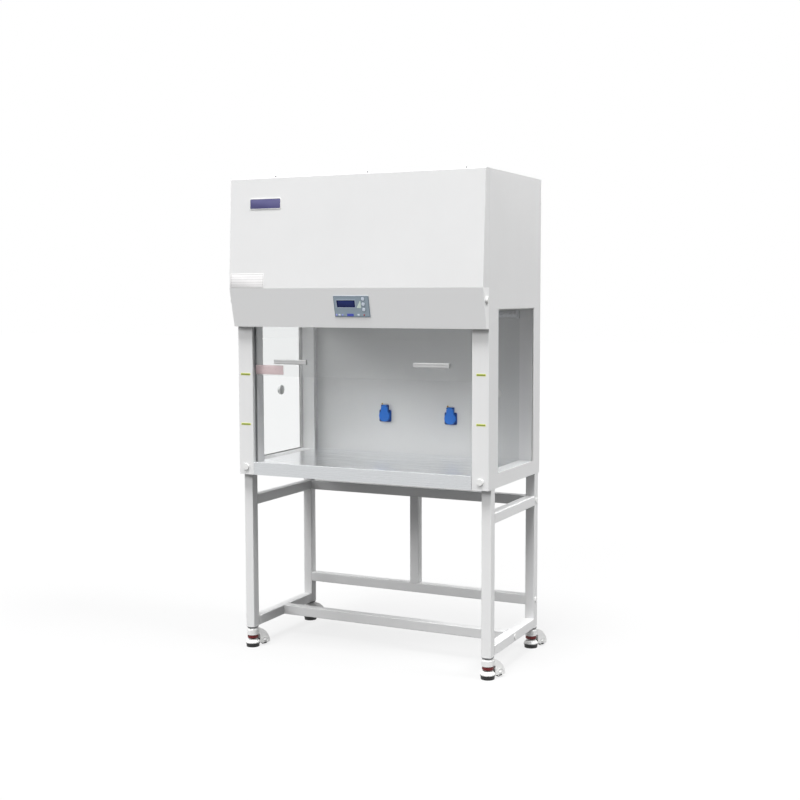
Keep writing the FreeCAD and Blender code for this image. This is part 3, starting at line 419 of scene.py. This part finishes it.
def screen(name, colour):
    """An unlit display: deep blue under gloss, with its faint grid of dots."""
    material, tree, shader = start_material(name, colour, 0.12)
    shader.inputs["Specular IOR Level"].default_value = 0.15
    place = tree.nodes.new("ShaderNodeTexCoord")
    dots = tree.nodes.new("ShaderNodeTexBrick")
    dots.offset = 0.0
    dots.inputs["Scale"].default_value = 1100.0
    dots.inputs["Mortar Size"].default_value = 0.08
    dots.inputs["Brick Width"].default_value = 1.0
    dots.inputs["Row Height"].default_value = 1.0
    dots.inputs["Color1"].default_value = (*colour, 1)
    dots.inputs["Color2"].default_value = (*shade(colour, 1.12), 1)
    dots.inputs["Mortar"].default_value = (*shade(colour, 0.7), 1)
    turned_place = tree.nodes.new("ShaderNodeMapping")
    turned_place.inputs["Rotation"].default_value = (math.radians(90), 0, 0)
    tree.links.new(place.outputs["Object"], turned_place.inputs["Vector"])
    tree.links.new(turned_place.outputs["Vector"], dots.inputs["Vector"])
    tree.links.new(dots.outputs["Color"], shader.inputs["Base Color"])
    vary_roughness(tree, shader, noise(tree, 90.0), 0.08, 0.18)
    return material


def frosted(name, colour, roughness, weight):
    """A film or tube wall that lets light through and scatters it."""
    material, tree, shader = start_material(name, colour, roughness)
    shader.inputs["Transmission Weight"].default_value = weight
    vary_roughness(tree, shader, noise(tree, 180.0), roughness - 0.08, roughness + 0.08)
    mottle(tree, shader, noise(tree, 24.0), colour, 0.96)
    return material


white_paint = painted("white_paint", (0.80, 0.80, 0.80))
# The back wall's paint is a darker copy of the white paint: painted shade for the chamber's
# inside.
inner_paint = painted("inner_paint", (0.68, 0.685, 0.685), 0.42)
# The front cover's slope is painted brighter than its upper face, as painted light.
cover_paint_lit_slope = paint_lit_below_fold("cover_paint_lit_slope", (0.80, 0.80, 0.80), (0.96, 0.96, 0.96))
# The work tray's upward faces are painted paler than its apron: painted light.
stainless = brushed("stainless", (0.64, 0.655, 0.67), (0.93, 0.94, 0.955),
                    (5.0, 950.0, 950.0), 0.24)
zinc_steel = metal("zinc_steel", (0.55, 0.56, 0.58), 0.34)
aluminium = metal("aluminium", (0.72, 0.73, 0.75), 0.30)
side_edge = (0.80, 0.88, 0.86)
left_pane = pane("left_pane", (0.90, 0.91, 0.91), (0.86, 0.87, 0.87), 1.10, "X", side_edge)
# The right pane is tinted darker than the left: painted shade for the chamber seen through it.
shaded_right_pane = pane("shaded_right_pane", (0.72, 0.725, 0.73), (0.80, 0.81, 0.81), 1.10, "X", side_edge)
sash_pane = pane("sash_pane", (0.92, 0.925, 0.925), (0.86, 0.87, 0.87), 1.42, "Y",
                 (0.55, 0.74, 0.68))
white_plastic = plastic("white_plastic", (0.84, 0.84, 0.83), 0.32, coat=0.2)
red_plastic = plastic("red_plastic", (0.125, 0.0015, 0.002), 0.45)
guide_grey = plastic("guide_grey", (0.34, 0.34, 0.345), 0.42)
gasket_white = plastic("gasket_white", (0.84, 0.84, 0.83), 0.50)
collar_grey = plastic("collar_grey", (0.26, 0.26, 0.265), 0.45)
handle_grey = plastic("handle_grey", (0.56, 0.56, 0.56), 0.36)
brass = metal("brass", (0.55, 0.38, 0.10), 0.30)
foot_material = foot_rubber("foot_rubber")
wheel_nylon = plastic("wheel_nylon", (0.022, 0.022, 0.025), 0.42)
panel_film = plastic("panel_film", (0.345, 0.425, 0.495), 0.42, grain=1500.0)
panel_border = plastic("panel_border", (0.17, 0.225, 0.28), 0.40, grain=1500.0)
display = screen("display", (0.006, 0.012, 0.095))
display_lit = screen("display_lit", (0.016, 0.028, 0.135))
display_rim = plastic("display_rim", (0.52, 0.60, 0.72), 0.35)
key_white = plastic("key_white", (0.76, 0.84, 0.95), 0.34)
key_blue = plastic("key_blue", (0.07, 0.10, 0.55), 0.34)
key_pale = plastic("key_pale", (0.34, 0.38, 0.80), 0.34)
wedge_green = plastic("wedge_green", (0.76, 0.88, 0.80), 0.40)
lens_red = plastic("lens_red", (0.45, 0.02, 0.015), 0.12, coat=0.6)
socket_blue = plastic("socket_blue", (0.018, 0.165, 0.64), 0.34)
socket_navy = plastic("socket_navy", (0.004, 0.060, 0.30), 0.34)
mark_green = plastic("mark_green", (0.20, 0.27, 0.012), 0.45)
mark_yellow = plastic("mark_yellow", (0.80, 0.80, 0.32), 0.45)
plate_navy = plastic("plate_navy", (0.060, 0.056, 0.175), 0.45)
label_white = plastic("label_white", (0.80, 0.79, 0.79), 0.45)
label_grey = plastic("label_grey", (0.30, 0.29, 0.30), 0.50)
black_plastic = plastic("black_plastic", (0.02, 0.02, 0.022), 0.40)
filter_pack = pleated("filter_pack", (0.80, 0.80, 0.76))
motor_black = painted("motor_black", (0.04, 0.04, 0.045), 0.5)
lamp_glass = frosted("lamp_glass", (0.90, 0.92, 0.95), 0.30, 0.3)
clear_film = frosted("clear_film", (0.92, 0.74, 0.75), 0.35, 0.75)


def each_caster(stem):
    return [stem + name for name in legs]


node_materials = {
    white_paint: [
        "side_frame_left", "side_frame_right", "rear_rail_upper", "rear_rail_lower",
        "lower_stretcher", "rear_centre_post", "side_panel_left", "side_panel_right",
        "rear_panel", "top_panel", "diffuser_plate",
        "hinge_leaves_fixed", "hinge_leaves_cover",
    ],
    inner_paint: ["back_wall"],
    cover_paint_lit_slope: ["front_cover"],
    stainless: ["work_tray"],
    zinc_steel: [
        "frame_bolts", "base_pan", "plenum_box", "balancer_tapes", "balancer_drums",
        "balancer_brackets",
    ],
    aluminium: ["impeller", "caster_stems"],
    guide_grey: ["sash_guides"],
    handle_grey: ["sash_fittings"],
    left_pane: ["side_glass_left"],
    shaded_right_pane: ["side_glass_right"],
    sash_pane: ["sash_glass"],
    white_plastic: [
        "caps_and_plugs", "cover_knob_left", "cover_knob_right",
        *each_caster("caster_body_"),
    ],
    red_plastic: each_caster("caster_thumbwheel_"),
    foot_material: each_caster("foot_pad_"),
    wheel_nylon: each_caster("caster_wheel_"),
    panel_film: ["control_panel"],
    display: ["display_window"],
    key_white: ["fan_key", "lamp_key", "uv_key"],
    key_blue: ["power_key"],
    socket_blue: ["socket_lid_left", "socket_lid_right"],
    socket_navy: ["socket_bases"],
    filter_pack: ["hepa_filter"],
    motor_black: ["fan_motor"],
    lamp_glass: ["lamps"],
}


def dress_nodes():
    for material, names in node_materials.items():
        for name in names:
            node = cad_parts[name]
            node.data.materials.clear()
            node.data.materials.append(material)


# Mesh tools; a place is a matrix that carries x across, y up and z out onto a face

corner_steps = 5


def outline(x0, x1, y0, y1, corner):
    """A rectangle with round corners, counter-clockwise."""
    points = []
    centres = ((x1 - corner, y1 - corner), (x0 + corner, y1 - corner),
               (x0 + corner, y0 + corner), (x1 - corner, y0 + corner))
    for number, (cx, cy) in enumerate(centres):
        for step in range(corner_steps + 1):
            angle = math.radians(90 * (number + step / corner_steps))
            points.append((cx + corner * math.cos(angle), cy + corner * math.sin(angle)))
    return points


def circle(radius, count, centre=(0, 0)):
    turns = [2 * math.pi * number / count for number in range(count)]
    return [(centre[0] + radius * math.cos(a), centre[1] + radius * math.sin(a)) for a in turns]


def new_rings(made, place, loops):
    """A ring of vertices for each loop, which is an outline and its height."""
    return [[made.verts.new((place @ Vector((x, y, height))) * MM) for x, y in points]
            for points, height in loops]


def join_rings(made, low, high):
    count = len(low)
    for number in range(count):
        after = (number + 1) % count
        made.faces.new((low[number], low[after], high[after], high[number]))


def loft(made, place, loops):
    """A solid through closed loops of one length, with a face on its first and last."""
    rings = new_rings(made, place, loops)
    for low, high in zip(rings, rings[1:]):
        join_rings(made, low, high)
    made.faces.new(list(reversed(rings[0])))
    made.faces.new(rings[-1])


def hoop(made, place, loops):
    """A closed hoop through the loops, its last joined to its first."""
    rings = new_rings(made, place, loops)
    for low, high in zip(rings, rings[1:] + rings[:1]):
        join_rings(made, low, high)


def plate(made, place, x0, x1, y0, y1, thickness, corner, edge, base=0.0):
    """A thin plate with round corners and a rounded rim."""
    small = edge * 0.35
    top = base + thickness
    loops = [
        (outline(x0, x1, y0, y1, corner), base),
        (outline(x0, x1, y0, y1, corner), top - edge),
        (outline(x0 + small, x1 - small, y0 + small, y1 - small, corner - small), top - small),
        (outline(x0 + edge, x1 - edge, y0 + edge, y1 - edge, corner - edge * 0.9), top),
    ]
    loft(made, place, loops)


def rim(made, place, x0, x1, y0, y1, width, height, corner, base=0.0):
    """A raised closed frame, width wide, along a rounded rectangle."""
    profile = [(0, base), (0, base + height * 0.7), (width * 0.25, base + height),
               (width * 0.75, base + height), (width, base + height * 0.7), (width, base)]
    loops = []
    for inset, level in profile:
        points = outline(x0 + inset, x1 - inset, y0 + inset, y1 - inset, max(corner - inset, 0.1))
        loops.append((points, level))
    hoop(made, place, loops)


def turned(made, place, profile, count, centre=(0, 0)):
    """A solid of revolution about a point of the face, from its radii and heights."""
    loft(made, place, [(circle(radius, count, centre), height) for radius, height in profile])


def turned_ring(made, place, profile, count, centre=(0, 0)):
    """A ring of revolution, whose section is the closed profile."""
    hoop(made, place, [(circle(radius, count, centre), height) for radius, height in profile])


def screw(made, place, x, y, radius, head):
    """A button head with a hexagon socket."""
    count = 24
    across = radius * 0.46
    hexagon = []
    for number in range(count):
        angle = 2 * math.pi * number / count
        local = (angle % (math.pi / 3)) - math.pi / 6
        reach = across * math.cos(math.pi / 6) / math.cos(local)
        hexagon.append((x + reach * math.cos(angle), y + reach * math.sin(angle)))
    loops = [(circle(radius, count, (x, y)), 0.0),
             (circle(radius, count, (x, y)), head * 0.35),
             (circle(radius * 0.9, count, (x, y)), head * 0.75),
             (circle(radius * 0.68, count, (x, y)), head),
             (hexagon, head), (hexagon, head * 0.35)]
    loft(made, place, loops)


def finish_piece(made, name, material, body, smooth=True):
    """Makes the piece, and attaches it to its body if one is given."""
    bmesh.ops.recalc_face_normals(made, faces=made.faces)
    mesh = bpy.data.meshes.new(name)
    made.to_mesh(mesh)
    made.free()
    piece = bpy.data.objects.new(name, mesh)
    bpy.context.scene.collection.objects.link(piece)
    mesh.materials.append(material)
    if smooth:
        mesh.shade_smooth()
        mesh.set_sharp_from_angle(angle=math.radians(32))
    if body:
        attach(piece, body)
    return piece


def steel_screws(name, place, points, radius, head):
    """The cabinet's own screws on one face, as one piece."""
    made = bmesh.new()
    for x, y in points:
        screw(made, place, x, y, radius, head)
    finish_piece(made, name, zinc_steel, "cabinet")


# Faces that carry details

def face_place(origin, across, up):
    """The matrix of a face from a point on it and its two directions."""
    x = Vector(across).normalized()
    y = Vector(up).normalized()
    z = x.cross(y)
    turn = Matrix((x, y, z)).transposed().to_4x4()
    return Matrix.Translation(Vector(origin)) @ turn


def side_place(x, y, z, side):
    """A face square to X at a point, looking out along side times X."""
    return face_place((x, y, z), (0, side, 0), (0, 0, 1))


def lifted(place, height):
    return place @ Matrix.Translation((0, 0, height))


upper_up = (0, cover_fold_depth - cover_top_depth, top_z - fold_z)
upper_face = face_place((0, front_y - cover_top_depth, top_z), (1, 0, 0), upper_up)
slope_up = (0, cover_bottom_depth - cover_fold_depth, fold_z - opening_z)
slope_face = face_place((0, front_y - cover_fold_depth, fold_z), (1, 0, 0), slope_up)
column_face = face_place((0, front_y, 0), (1, 0, 0), (0, 0, 1))
rear_face = face_place((0, back_y, 0), (-1, 0, 0), (0, 0, 1))
top_face = face_place((0, front_y, top_z), (1, 0, 0), (0, 1, 0))
sash_face = face_place((0, sash_y, 0), (1, 0, 0), (0, 0, 1))
socket_face = face_place((0, socket_front_y, 0), (1, 0, 0), (0, 0, 1))


# Front cover

label_thickness = 0.5
rule_half = 0.35


def badge():
    """A blank nameplate where the photograph has a name."""
    made = bmesh.new()
    plate(made, upper_face, -436, -302, -118, -80, thickness=1.6, corner=5, edge=0.8)
    finish_piece(made, "badge_plate", plate_navy, "cover")
    made = bmesh.new()
    rim(made, upper_face, -437.5, -300.5, -119.5, -78.5, width=2.6, height=2.1, corner=6)
    finish_piece(made, "badge_rim", gasket_white, "cover")


def rating_label():
    """A blank label with ruled lines and no words."""
    made = bmesh.new()
    plate(made, upper_face, -521, -371, -416, -361,
          thickness=label_thickness, corner=2, edge=0.2)
    finish_piece(made, "rating_label", label_white, "cover")
    made = bmesh.new()
    rim(made, upper_face, -518, -374, -413, -364,
        width=0.9, height=0.12, corner=1.2, base=label_thickness)
    for height in (-374, -384, -394, -404):
        plate(made, upper_face, -517, -375, height - rule_half, height + rule_half,
              thickness=0.12, corner=0.2, edge=0.05, base=label_thickness)
    finish_piece(made, "rating_label_rules", label_grey, "cover")


# Keypad on the cover's slope, whose film stands out this far

film_top = 2.0


def keypad_display():
    made = bmesh.new()
    rim(made, slope_face, -74.2, 72.2, -108.4, -30.1,
        width=2.4, height=0.35, corner=2.5, base=film_top)
    finish_piece(made, "keypad_border", panel_border, "cover")
    made = bmesh.new()
    rim(made, slope_face, -64.5, 16.5, -74.9, -43.4,
        width=2.2, height=0.6, corner=2.0, base=film_top)
    finish_piece(made, "display_rim", display_rim, "cover")
    made = bmesh.new()
    plate(made, slope_face, -56.5, 8.5, -69.5, -48.8,
          thickness=0.25, corner=0.8, edge=0.1, base=film_top - 0.5)
    finish_piece(made, "display_field", display_lit, "cover")


def level_wedge():
    """The pale triangle beside the keys, with its tip cut off."""
    made = bmesh.new()
    wedge = [(19, -75), (38, -75), (38, -49), (34.5, -49)]
    small = [(20, -74.5), (37.4, -74.5), (37.4, -50), (34.9, -50)]
    levels = [(wedge, film_top), (wedge, film_top + 0.25), (small, film_top + 0.45)]
    loft(made, slope_face, levels)
    finish_piece(made, "level_wedge", wedge_green, "cover", smooth=False)


def key_rings():
    made = bmesh.new()
    ring = [(8.9, film_top), (8.9, film_top + 0.35), (8.4, film_top + 0.55),
            (7.9, film_top + 0.55), (7.5, film_top + 0.3), (7.5, film_top)]
    for down in (40.5, 60.5, 80.5):
        turned_ring(made, slope_face, ring, count=32, centre=(48.0, -down))
    finish_piece(made, "key_rings", panel_border, "cover")


def soft_keys(colour, middles, width, material):
    """Small keys of one colour along the film's lower edge."""
    made = bmesh.new()
    for x in middles:
        plate(made, slope_face, x - width / 2, x + width / 2, -105.0, -97.5,
              thickness=0.9, corner=2.2, edge=0.5, base=film_top)
    finish_piece(made, "soft_keys_" + colour, material, "cover")


def status_lens():
    made = bmesh.new()
    dome = [(3.0, film_top), (3.0, film_top + 0.6), (2.5, film_top + 1.2),
            (1.5, film_top + 1.7), (0.3, film_top + 1.9)]
    turned(made, slope_face, dome, count=24, centre=(47.8, -101))
    finish_piece(made, "status_lens", lens_red, "cover")


# Hinges

leaf_thickness = 2.0
leaf_screw_offset = 18.5


def hinge_screws():
    for body, side in (("cabinet", 1), ("cover", -1)):
        made = bmesh.new()
        for centre in hinge_middles:
            for offset in (-32, 0, 32):
                screw(made, lifted(top_face, leaf_thickness), centre + offset,
                      side * leaf_screw_offset, radius=3.6, head=1.7)
        finish_piece(made, "hinge_screws_" + body, zinc_steel, body)


def pin_ends():
    """The rounded ends of the hinge pins, just proud of the knuckles."""
    made = bmesh.new()
    dome = [(2.5, -0.5), (3.4, 0.0), (3.4, 0.8), (2.4, 1.6), (0.6, 2.0)]
    for centre in hinge_middles:
        for side in (-1, 1):
            place = side_place(centre + side * hinge_half, front_y, hinge_z, side)
            turned(made, place, dome, count=20)
    finish_piece(made, "hinge_pin_ends", motor_black, "cabinet")


# Top, with the air intake

intake_middle = 292.0
intake_half_x = 222.0
intake_half_y = 108.0
intake_border = 10.0
wire_pitch = 12
wire_half = 0.5


def intake():
    """A frame and its mesh; the wires to the back lie under those across."""
    low = intake_middle - intake_half_y
    high = intake_middle + intake_half_y
    made = bmesh.new()
    rim(made, top_face, -intake_half_x, intake_half_x, low, high, width=11, height=2.4, corner=9)
    finish_piece(made, "intake_frame", white_paint, "cabinet")
    made = bmesh.new()
    for number in range(35):
        x = -204 + wire_pitch * number
        plate(made, top_face, x - wire_half, x + wire_half,
              low + intake_border, high - intake_border,
              thickness=1.0, corner=0.4, edge=0.2, base=0.1)
    for number in range(16):
        y = intake_middle - 90 + wire_pitch * number
        plate(made, top_face, -intake_half_x + intake_border, intake_half_x - intake_border,
              y - wire_half, y + wire_half,
              thickness=1.0, corner=0.4, edge=0.2, base=0.6)
    finish_piece(made, "intake_mesh", zinc_steel, "cabinet")


def lid_screws():
    points = [(x, y) for x in (-510, -170, 170, 510) for y in (60, 525)]
    steel_screws("lid_screws", top_face, points, radius=4.5, head=2.4)


# Back; on this face x runs towards the cabinet's left

service_thickness = 1.6
inlet_thickness = 2.0


def rear_screws():
    points = [(x, z) for x in (-445, 445) for z in (725, 1000, 1275, 1550, 1825)]
    points += [(x, z) for x in (-150, 150) for z in (715, 1828)]
    steel_screws("rear_screws", rear_face, points, radius=4.5, head=2.4)


def service_cover():
    """A screwed cover with pressed louvres."""
    made = bmesh.new()
    plate(made, rear_face, -190, 190, 1440, 1700, thickness=service_thickness, corner=8, edge=0.8)
    finish_piece(made, "service_cover", white_paint, "cabinet")
    face = lifted(rear_face, service_thickness)
    points = [(x, z) for x in (-176, 0, 176) for z in (1454, 1686)]
    steel_screws("service_screws", face, points, radius=4.0, head=2.2)
    made = bmesh.new()
    for number in range(8):
        z = 1500 + 19 * number
        hood = [(-140, z), (140, z), (140, z + 9), (-140, z + 9)]
        lip = [(-136, z + 6), (136, z + 6), (136, z + 8.6), (-136, z + 8.6)]
        loft(made, face, [(hood, 0.0), (lip, 4.0)])
    finish_piece(made, "service_louvres", white_paint, "cabinet", smooth=False)


def power_inlet():
    made = bmesh.new()
    plate(made, rear_face, 262, 392, 1330, 1400, thickness=inlet_thickness, corner=5, edge=0.7)
    finish_piece(made, "inlet_plate", motor_black, "cabinet")
    made = bmesh.new()
    rim(made, rear_face, 300, 354, 1350, 1382, width=3.2, height=4.0, corner=4,
        base=inlet_thickness)
    finish_piece(made, "inlet_rim", black_plastic, "cabinet")
    made = bmesh.new()
    for x, z in ((316, 1362), (327, 1370), (338, 1362)):
        plate(made, rear_face, x - 1.2, x + 1.2, z - 4, z + 4,
              thickness=3.0, corner=0.6, edge=0.3, base=inlet_thickness)
    finish_piece(made, "inlet_pins", brass, "cabinet")
    face = lifted(rear_face, inlet_thickness)
    steel_screws("inlet_screws", face, [(272, 1365), (382, 1365)], radius=3.2, head=1.8)


def rear_plate():
    """A blank plate where such a cabinet carries its data."""
    made = bmesh.new()
    plate(made, rear_face, -392, -272, 1335, 1400, thickness=0.6, corner=3, edge=0.3)
    finish_piece(made, "rear_plate", aluminium, "cabinet")


def fold_screws():
    """Two screws on the outside of each rear fold, near the top."""
    inwards = 7.5
    for name, side in (("left", -1), ("right", 1)):
        place = side_place(side * half_width, back_y, 0, side)
        made = bmesh.new()
        for z in (1752, 1812):
            screw(made, place, -side * inwards, z, radius=3.4, head=1.6)
        finish_piece(made, "fold_screws_" + name, white_plastic, "cabinet")


# Side windows

bead_width = 16.0
bead_thickness = 2.0
gasket_gap = 0.1


def window_trim():
    """The gasket between skin and pane, and the glazing bead round the pane inside."""
    for name, side in (("left", -1), ("right", 1)):
        made = bmesh.new()
        place = side_place(side * pane_outer, 0, 0, side)
        y0, y1 = sorted((side * window_front_y, side * window_rear_y))
        rim(made, place, y0 + gasket_gap, y1 - gasket_gap,
            work_z + gasket_gap, ceiling_z - gasket_gap, width=3.0, height=1.3, corner=1.0)
        finish_piece(made, "window_gasket_" + name, gasket_white, "cabinet")
        made = bmesh.new()
        place = side_place(side * pane_inner, 0, 0, -side)
        y0, y1 = sorted((-side * pane_front_y, -side * pane_rear_y))
        low = work_z + 0.5
        top = ceiling_z + 8.0
        strips = ((y0 + 0.2, y0 + bead_width, low), (y1 - bead_width, y1 - 0.2, low),
                  (y0 + bead_width, y1 - bead_width, top - bead_width))
        for start, end, bottom in strips:
            plate(made, place, start, end, bottom, top,
                  thickness=bead_thickness, corner=0.8, edge=0.4)
        finish_piece(made, "window_bead_" + name, gasket_white, "cabinet")


# Sockets

def socket_details():
    """Four screws in each base, with a terminal and a spring over it."""
    screws = bmesh.new()
    terminals = bmesh.new()
    springs = bmesh.new()
    dome = [(3.2, 0.0), (3.2, 3.6), (2.4, 4.4), (0.6, 4.8)]
    for x in socket_middles:
        for across in (-22, 22):
            for up in (-20.5, 20.5):
                screw(screws, socket_face, x + across, socket_z + up, radius=2.5, head=1.2)
        turned(terminals, socket_face, dome, count=20, centre=(x - 12.0, socket_z + 49.0))
        plate(springs, socket_face, x - 5, x + 12, socket_z + 47.6, socket_z + 50.0,
              thickness=2.0, corner=1.0, edge=0.6)
    finish_piece(screws, "socket_screws", black_plastic, "cabinet")
    finish_piece(terminals, "socket_terminals", brass, "cabinet")
    finish_piece(springs, "socket_springs", zinc_steel, "cabinet")


# Casters

collar_section = [(18.2, 81.9), (23.4, 81.9), (23.0, 79.5), (20.6, 75.6), (18.2, 75.6)]
cap_flange = [(15.5, -0.2), (15.5, 0.5), (14.2, 0.9), (12.9, 0.5), (12.9, -0.2)]
cap_dome = [(5.0, -0.2), (5.0, 0.8), (4.0, 1.5), (1.0, 1.8)]


def leg_collars():
    made = bmesh.new()
    for foot in legs.values():
        turned_ring(made, Matrix.Identity(4), collar_section, count=40, centre=foot)
    finish_piece(made, "leg_collars", collar_grey, "cabinet")


def axle_caps():
    """A cap on each end of every wheel's axle, outside its hood."""
    along = Vector((math.cos(caster_turn), math.sin(caster_turn), 0))
    across = Vector((-math.sin(caster_turn), math.cos(caster_turn), 0))
    for name, (x, y) in legs.items():
        made = bmesh.new()
        for side in (-1, 1):
            hub = Vector((x, y, wheel_z)) + along * wheel_offset + across * side * hood_half
            place = face_place(hub, along * -side, (0, 0, 1))
            turned_ring(made, place, cap_flange, count=40)
            turned(made, place, cap_dome, count=28)
        finish_piece(made, "axle_caps_" + name, white_plastic, "caster_" + name)


# Columns

def column_marks():
    """Four green dashes on pale backs; each row is its left, its right and its height."""
    marks = ((-514, -472, 1093), (-514, -472, 898), (478, 513, 1115), (478, 513, 936))
    made = bmesh.new()
    backs = bmesh.new()
    for x0, x1, height in marks:
        plate(backs, column_face, x0 - 1, x1 + 1, height - 4.6, height + 4.6,
              thickness=0.3, corner=1.0, edge=0.1)
        plate(made, column_face, x0 + 1, x1 - 1, height - 2.6, height + 2.6,
              thickness=0.2, corner=0.6, edge=0.1, base=0.3)
    finish_piece(backs, "column_mark_backs", mark_yellow, "cabinet")
    finish_piece(made, "column_marks", mark_green, "cabinet")


# Sash

tape_x = 415.0
tape_half = 5.0
tape_front_y = -230.36
tape_rear_y = -229.56
tape_low = 1546.3
tape_high = 1800.5
handle_depth = 13.0
rib_inset = 7


def drawn_tapes():
    """The balancers' two steel tapes, in short rows and without a body; the real tapes draw out of
    their drums as the sash goes down.
    """
    made = bmesh.new()
    rows = 32
    step = (tape_high - tape_low) / rows
    for x in (-tape_x, tape_x):
        band = [(x - tape_half, tape_front_y), (x + tape_half, tape_front_y),
                (x + tape_half, tape_rear_y), (x - tape_half, tape_rear_y)]
        levels = [(band, tape_low + step * row) for row in range(rows + 1)]
        loft(made, Matrix.Identity(4), levels)
    piece = finish_piece(made, "drawn_tapes", zinc_steel, None, smooth=False)
    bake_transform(piece)
    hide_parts("balancer_tapes")


def sash_film():
    """A blank film where the photograph has a printed one."""
    made = bmesh.new()
    plate(made, sash_face, -458, -333, 1093, 1129, thickness=0.25, corner=2.5, edge=0.1)
    finish_piece(made, "sash_film", clear_film, "sash")


def handle_ribs():
    """Two low ribs along the front of each bar handle."""
    made = bmesh.new()
    face = lifted(sash_face, handle_depth)
    for centre in (-handle_middle, handle_middle):
        for height in (handle_z - 4, handle_z + 4):
            plate(made, face, centre - handle_half + rib_inset, centre + handle_half - rib_inset,
                  height - 0.9, height + 0.9, thickness=0.7, corner=0.8, edge=0.3)
    finish_piece(made, "handle_ribs", handle_grey, "sash")


make_camera()
make_world()
for name, azimuth, elevation, strength in suns:
    make_sun(name, azimuth, elevation, strength)
make_floor()
dress_nodes()
badge()
rating_label()
keypad_display()
level_wedge()
key_rings()
soft_keys("blue", (-67, -42), 8, key_pale)
soft_keys("white", (-54.8, 24.6), 9, key_white)
status_lens()
hinge_screws()
pin_ends()
intake()
lid_screws()
rear_screws()
service_cover()
power_inlet()
rear_plate()
fold_screws()
window_trim()
socket_details()
leg_collars()
axle_caps()
column_marks()
drawn_tapes()
sash_film()
handle_ribs()

bpy.context.scene.view_settings.view_transform = "Standard"
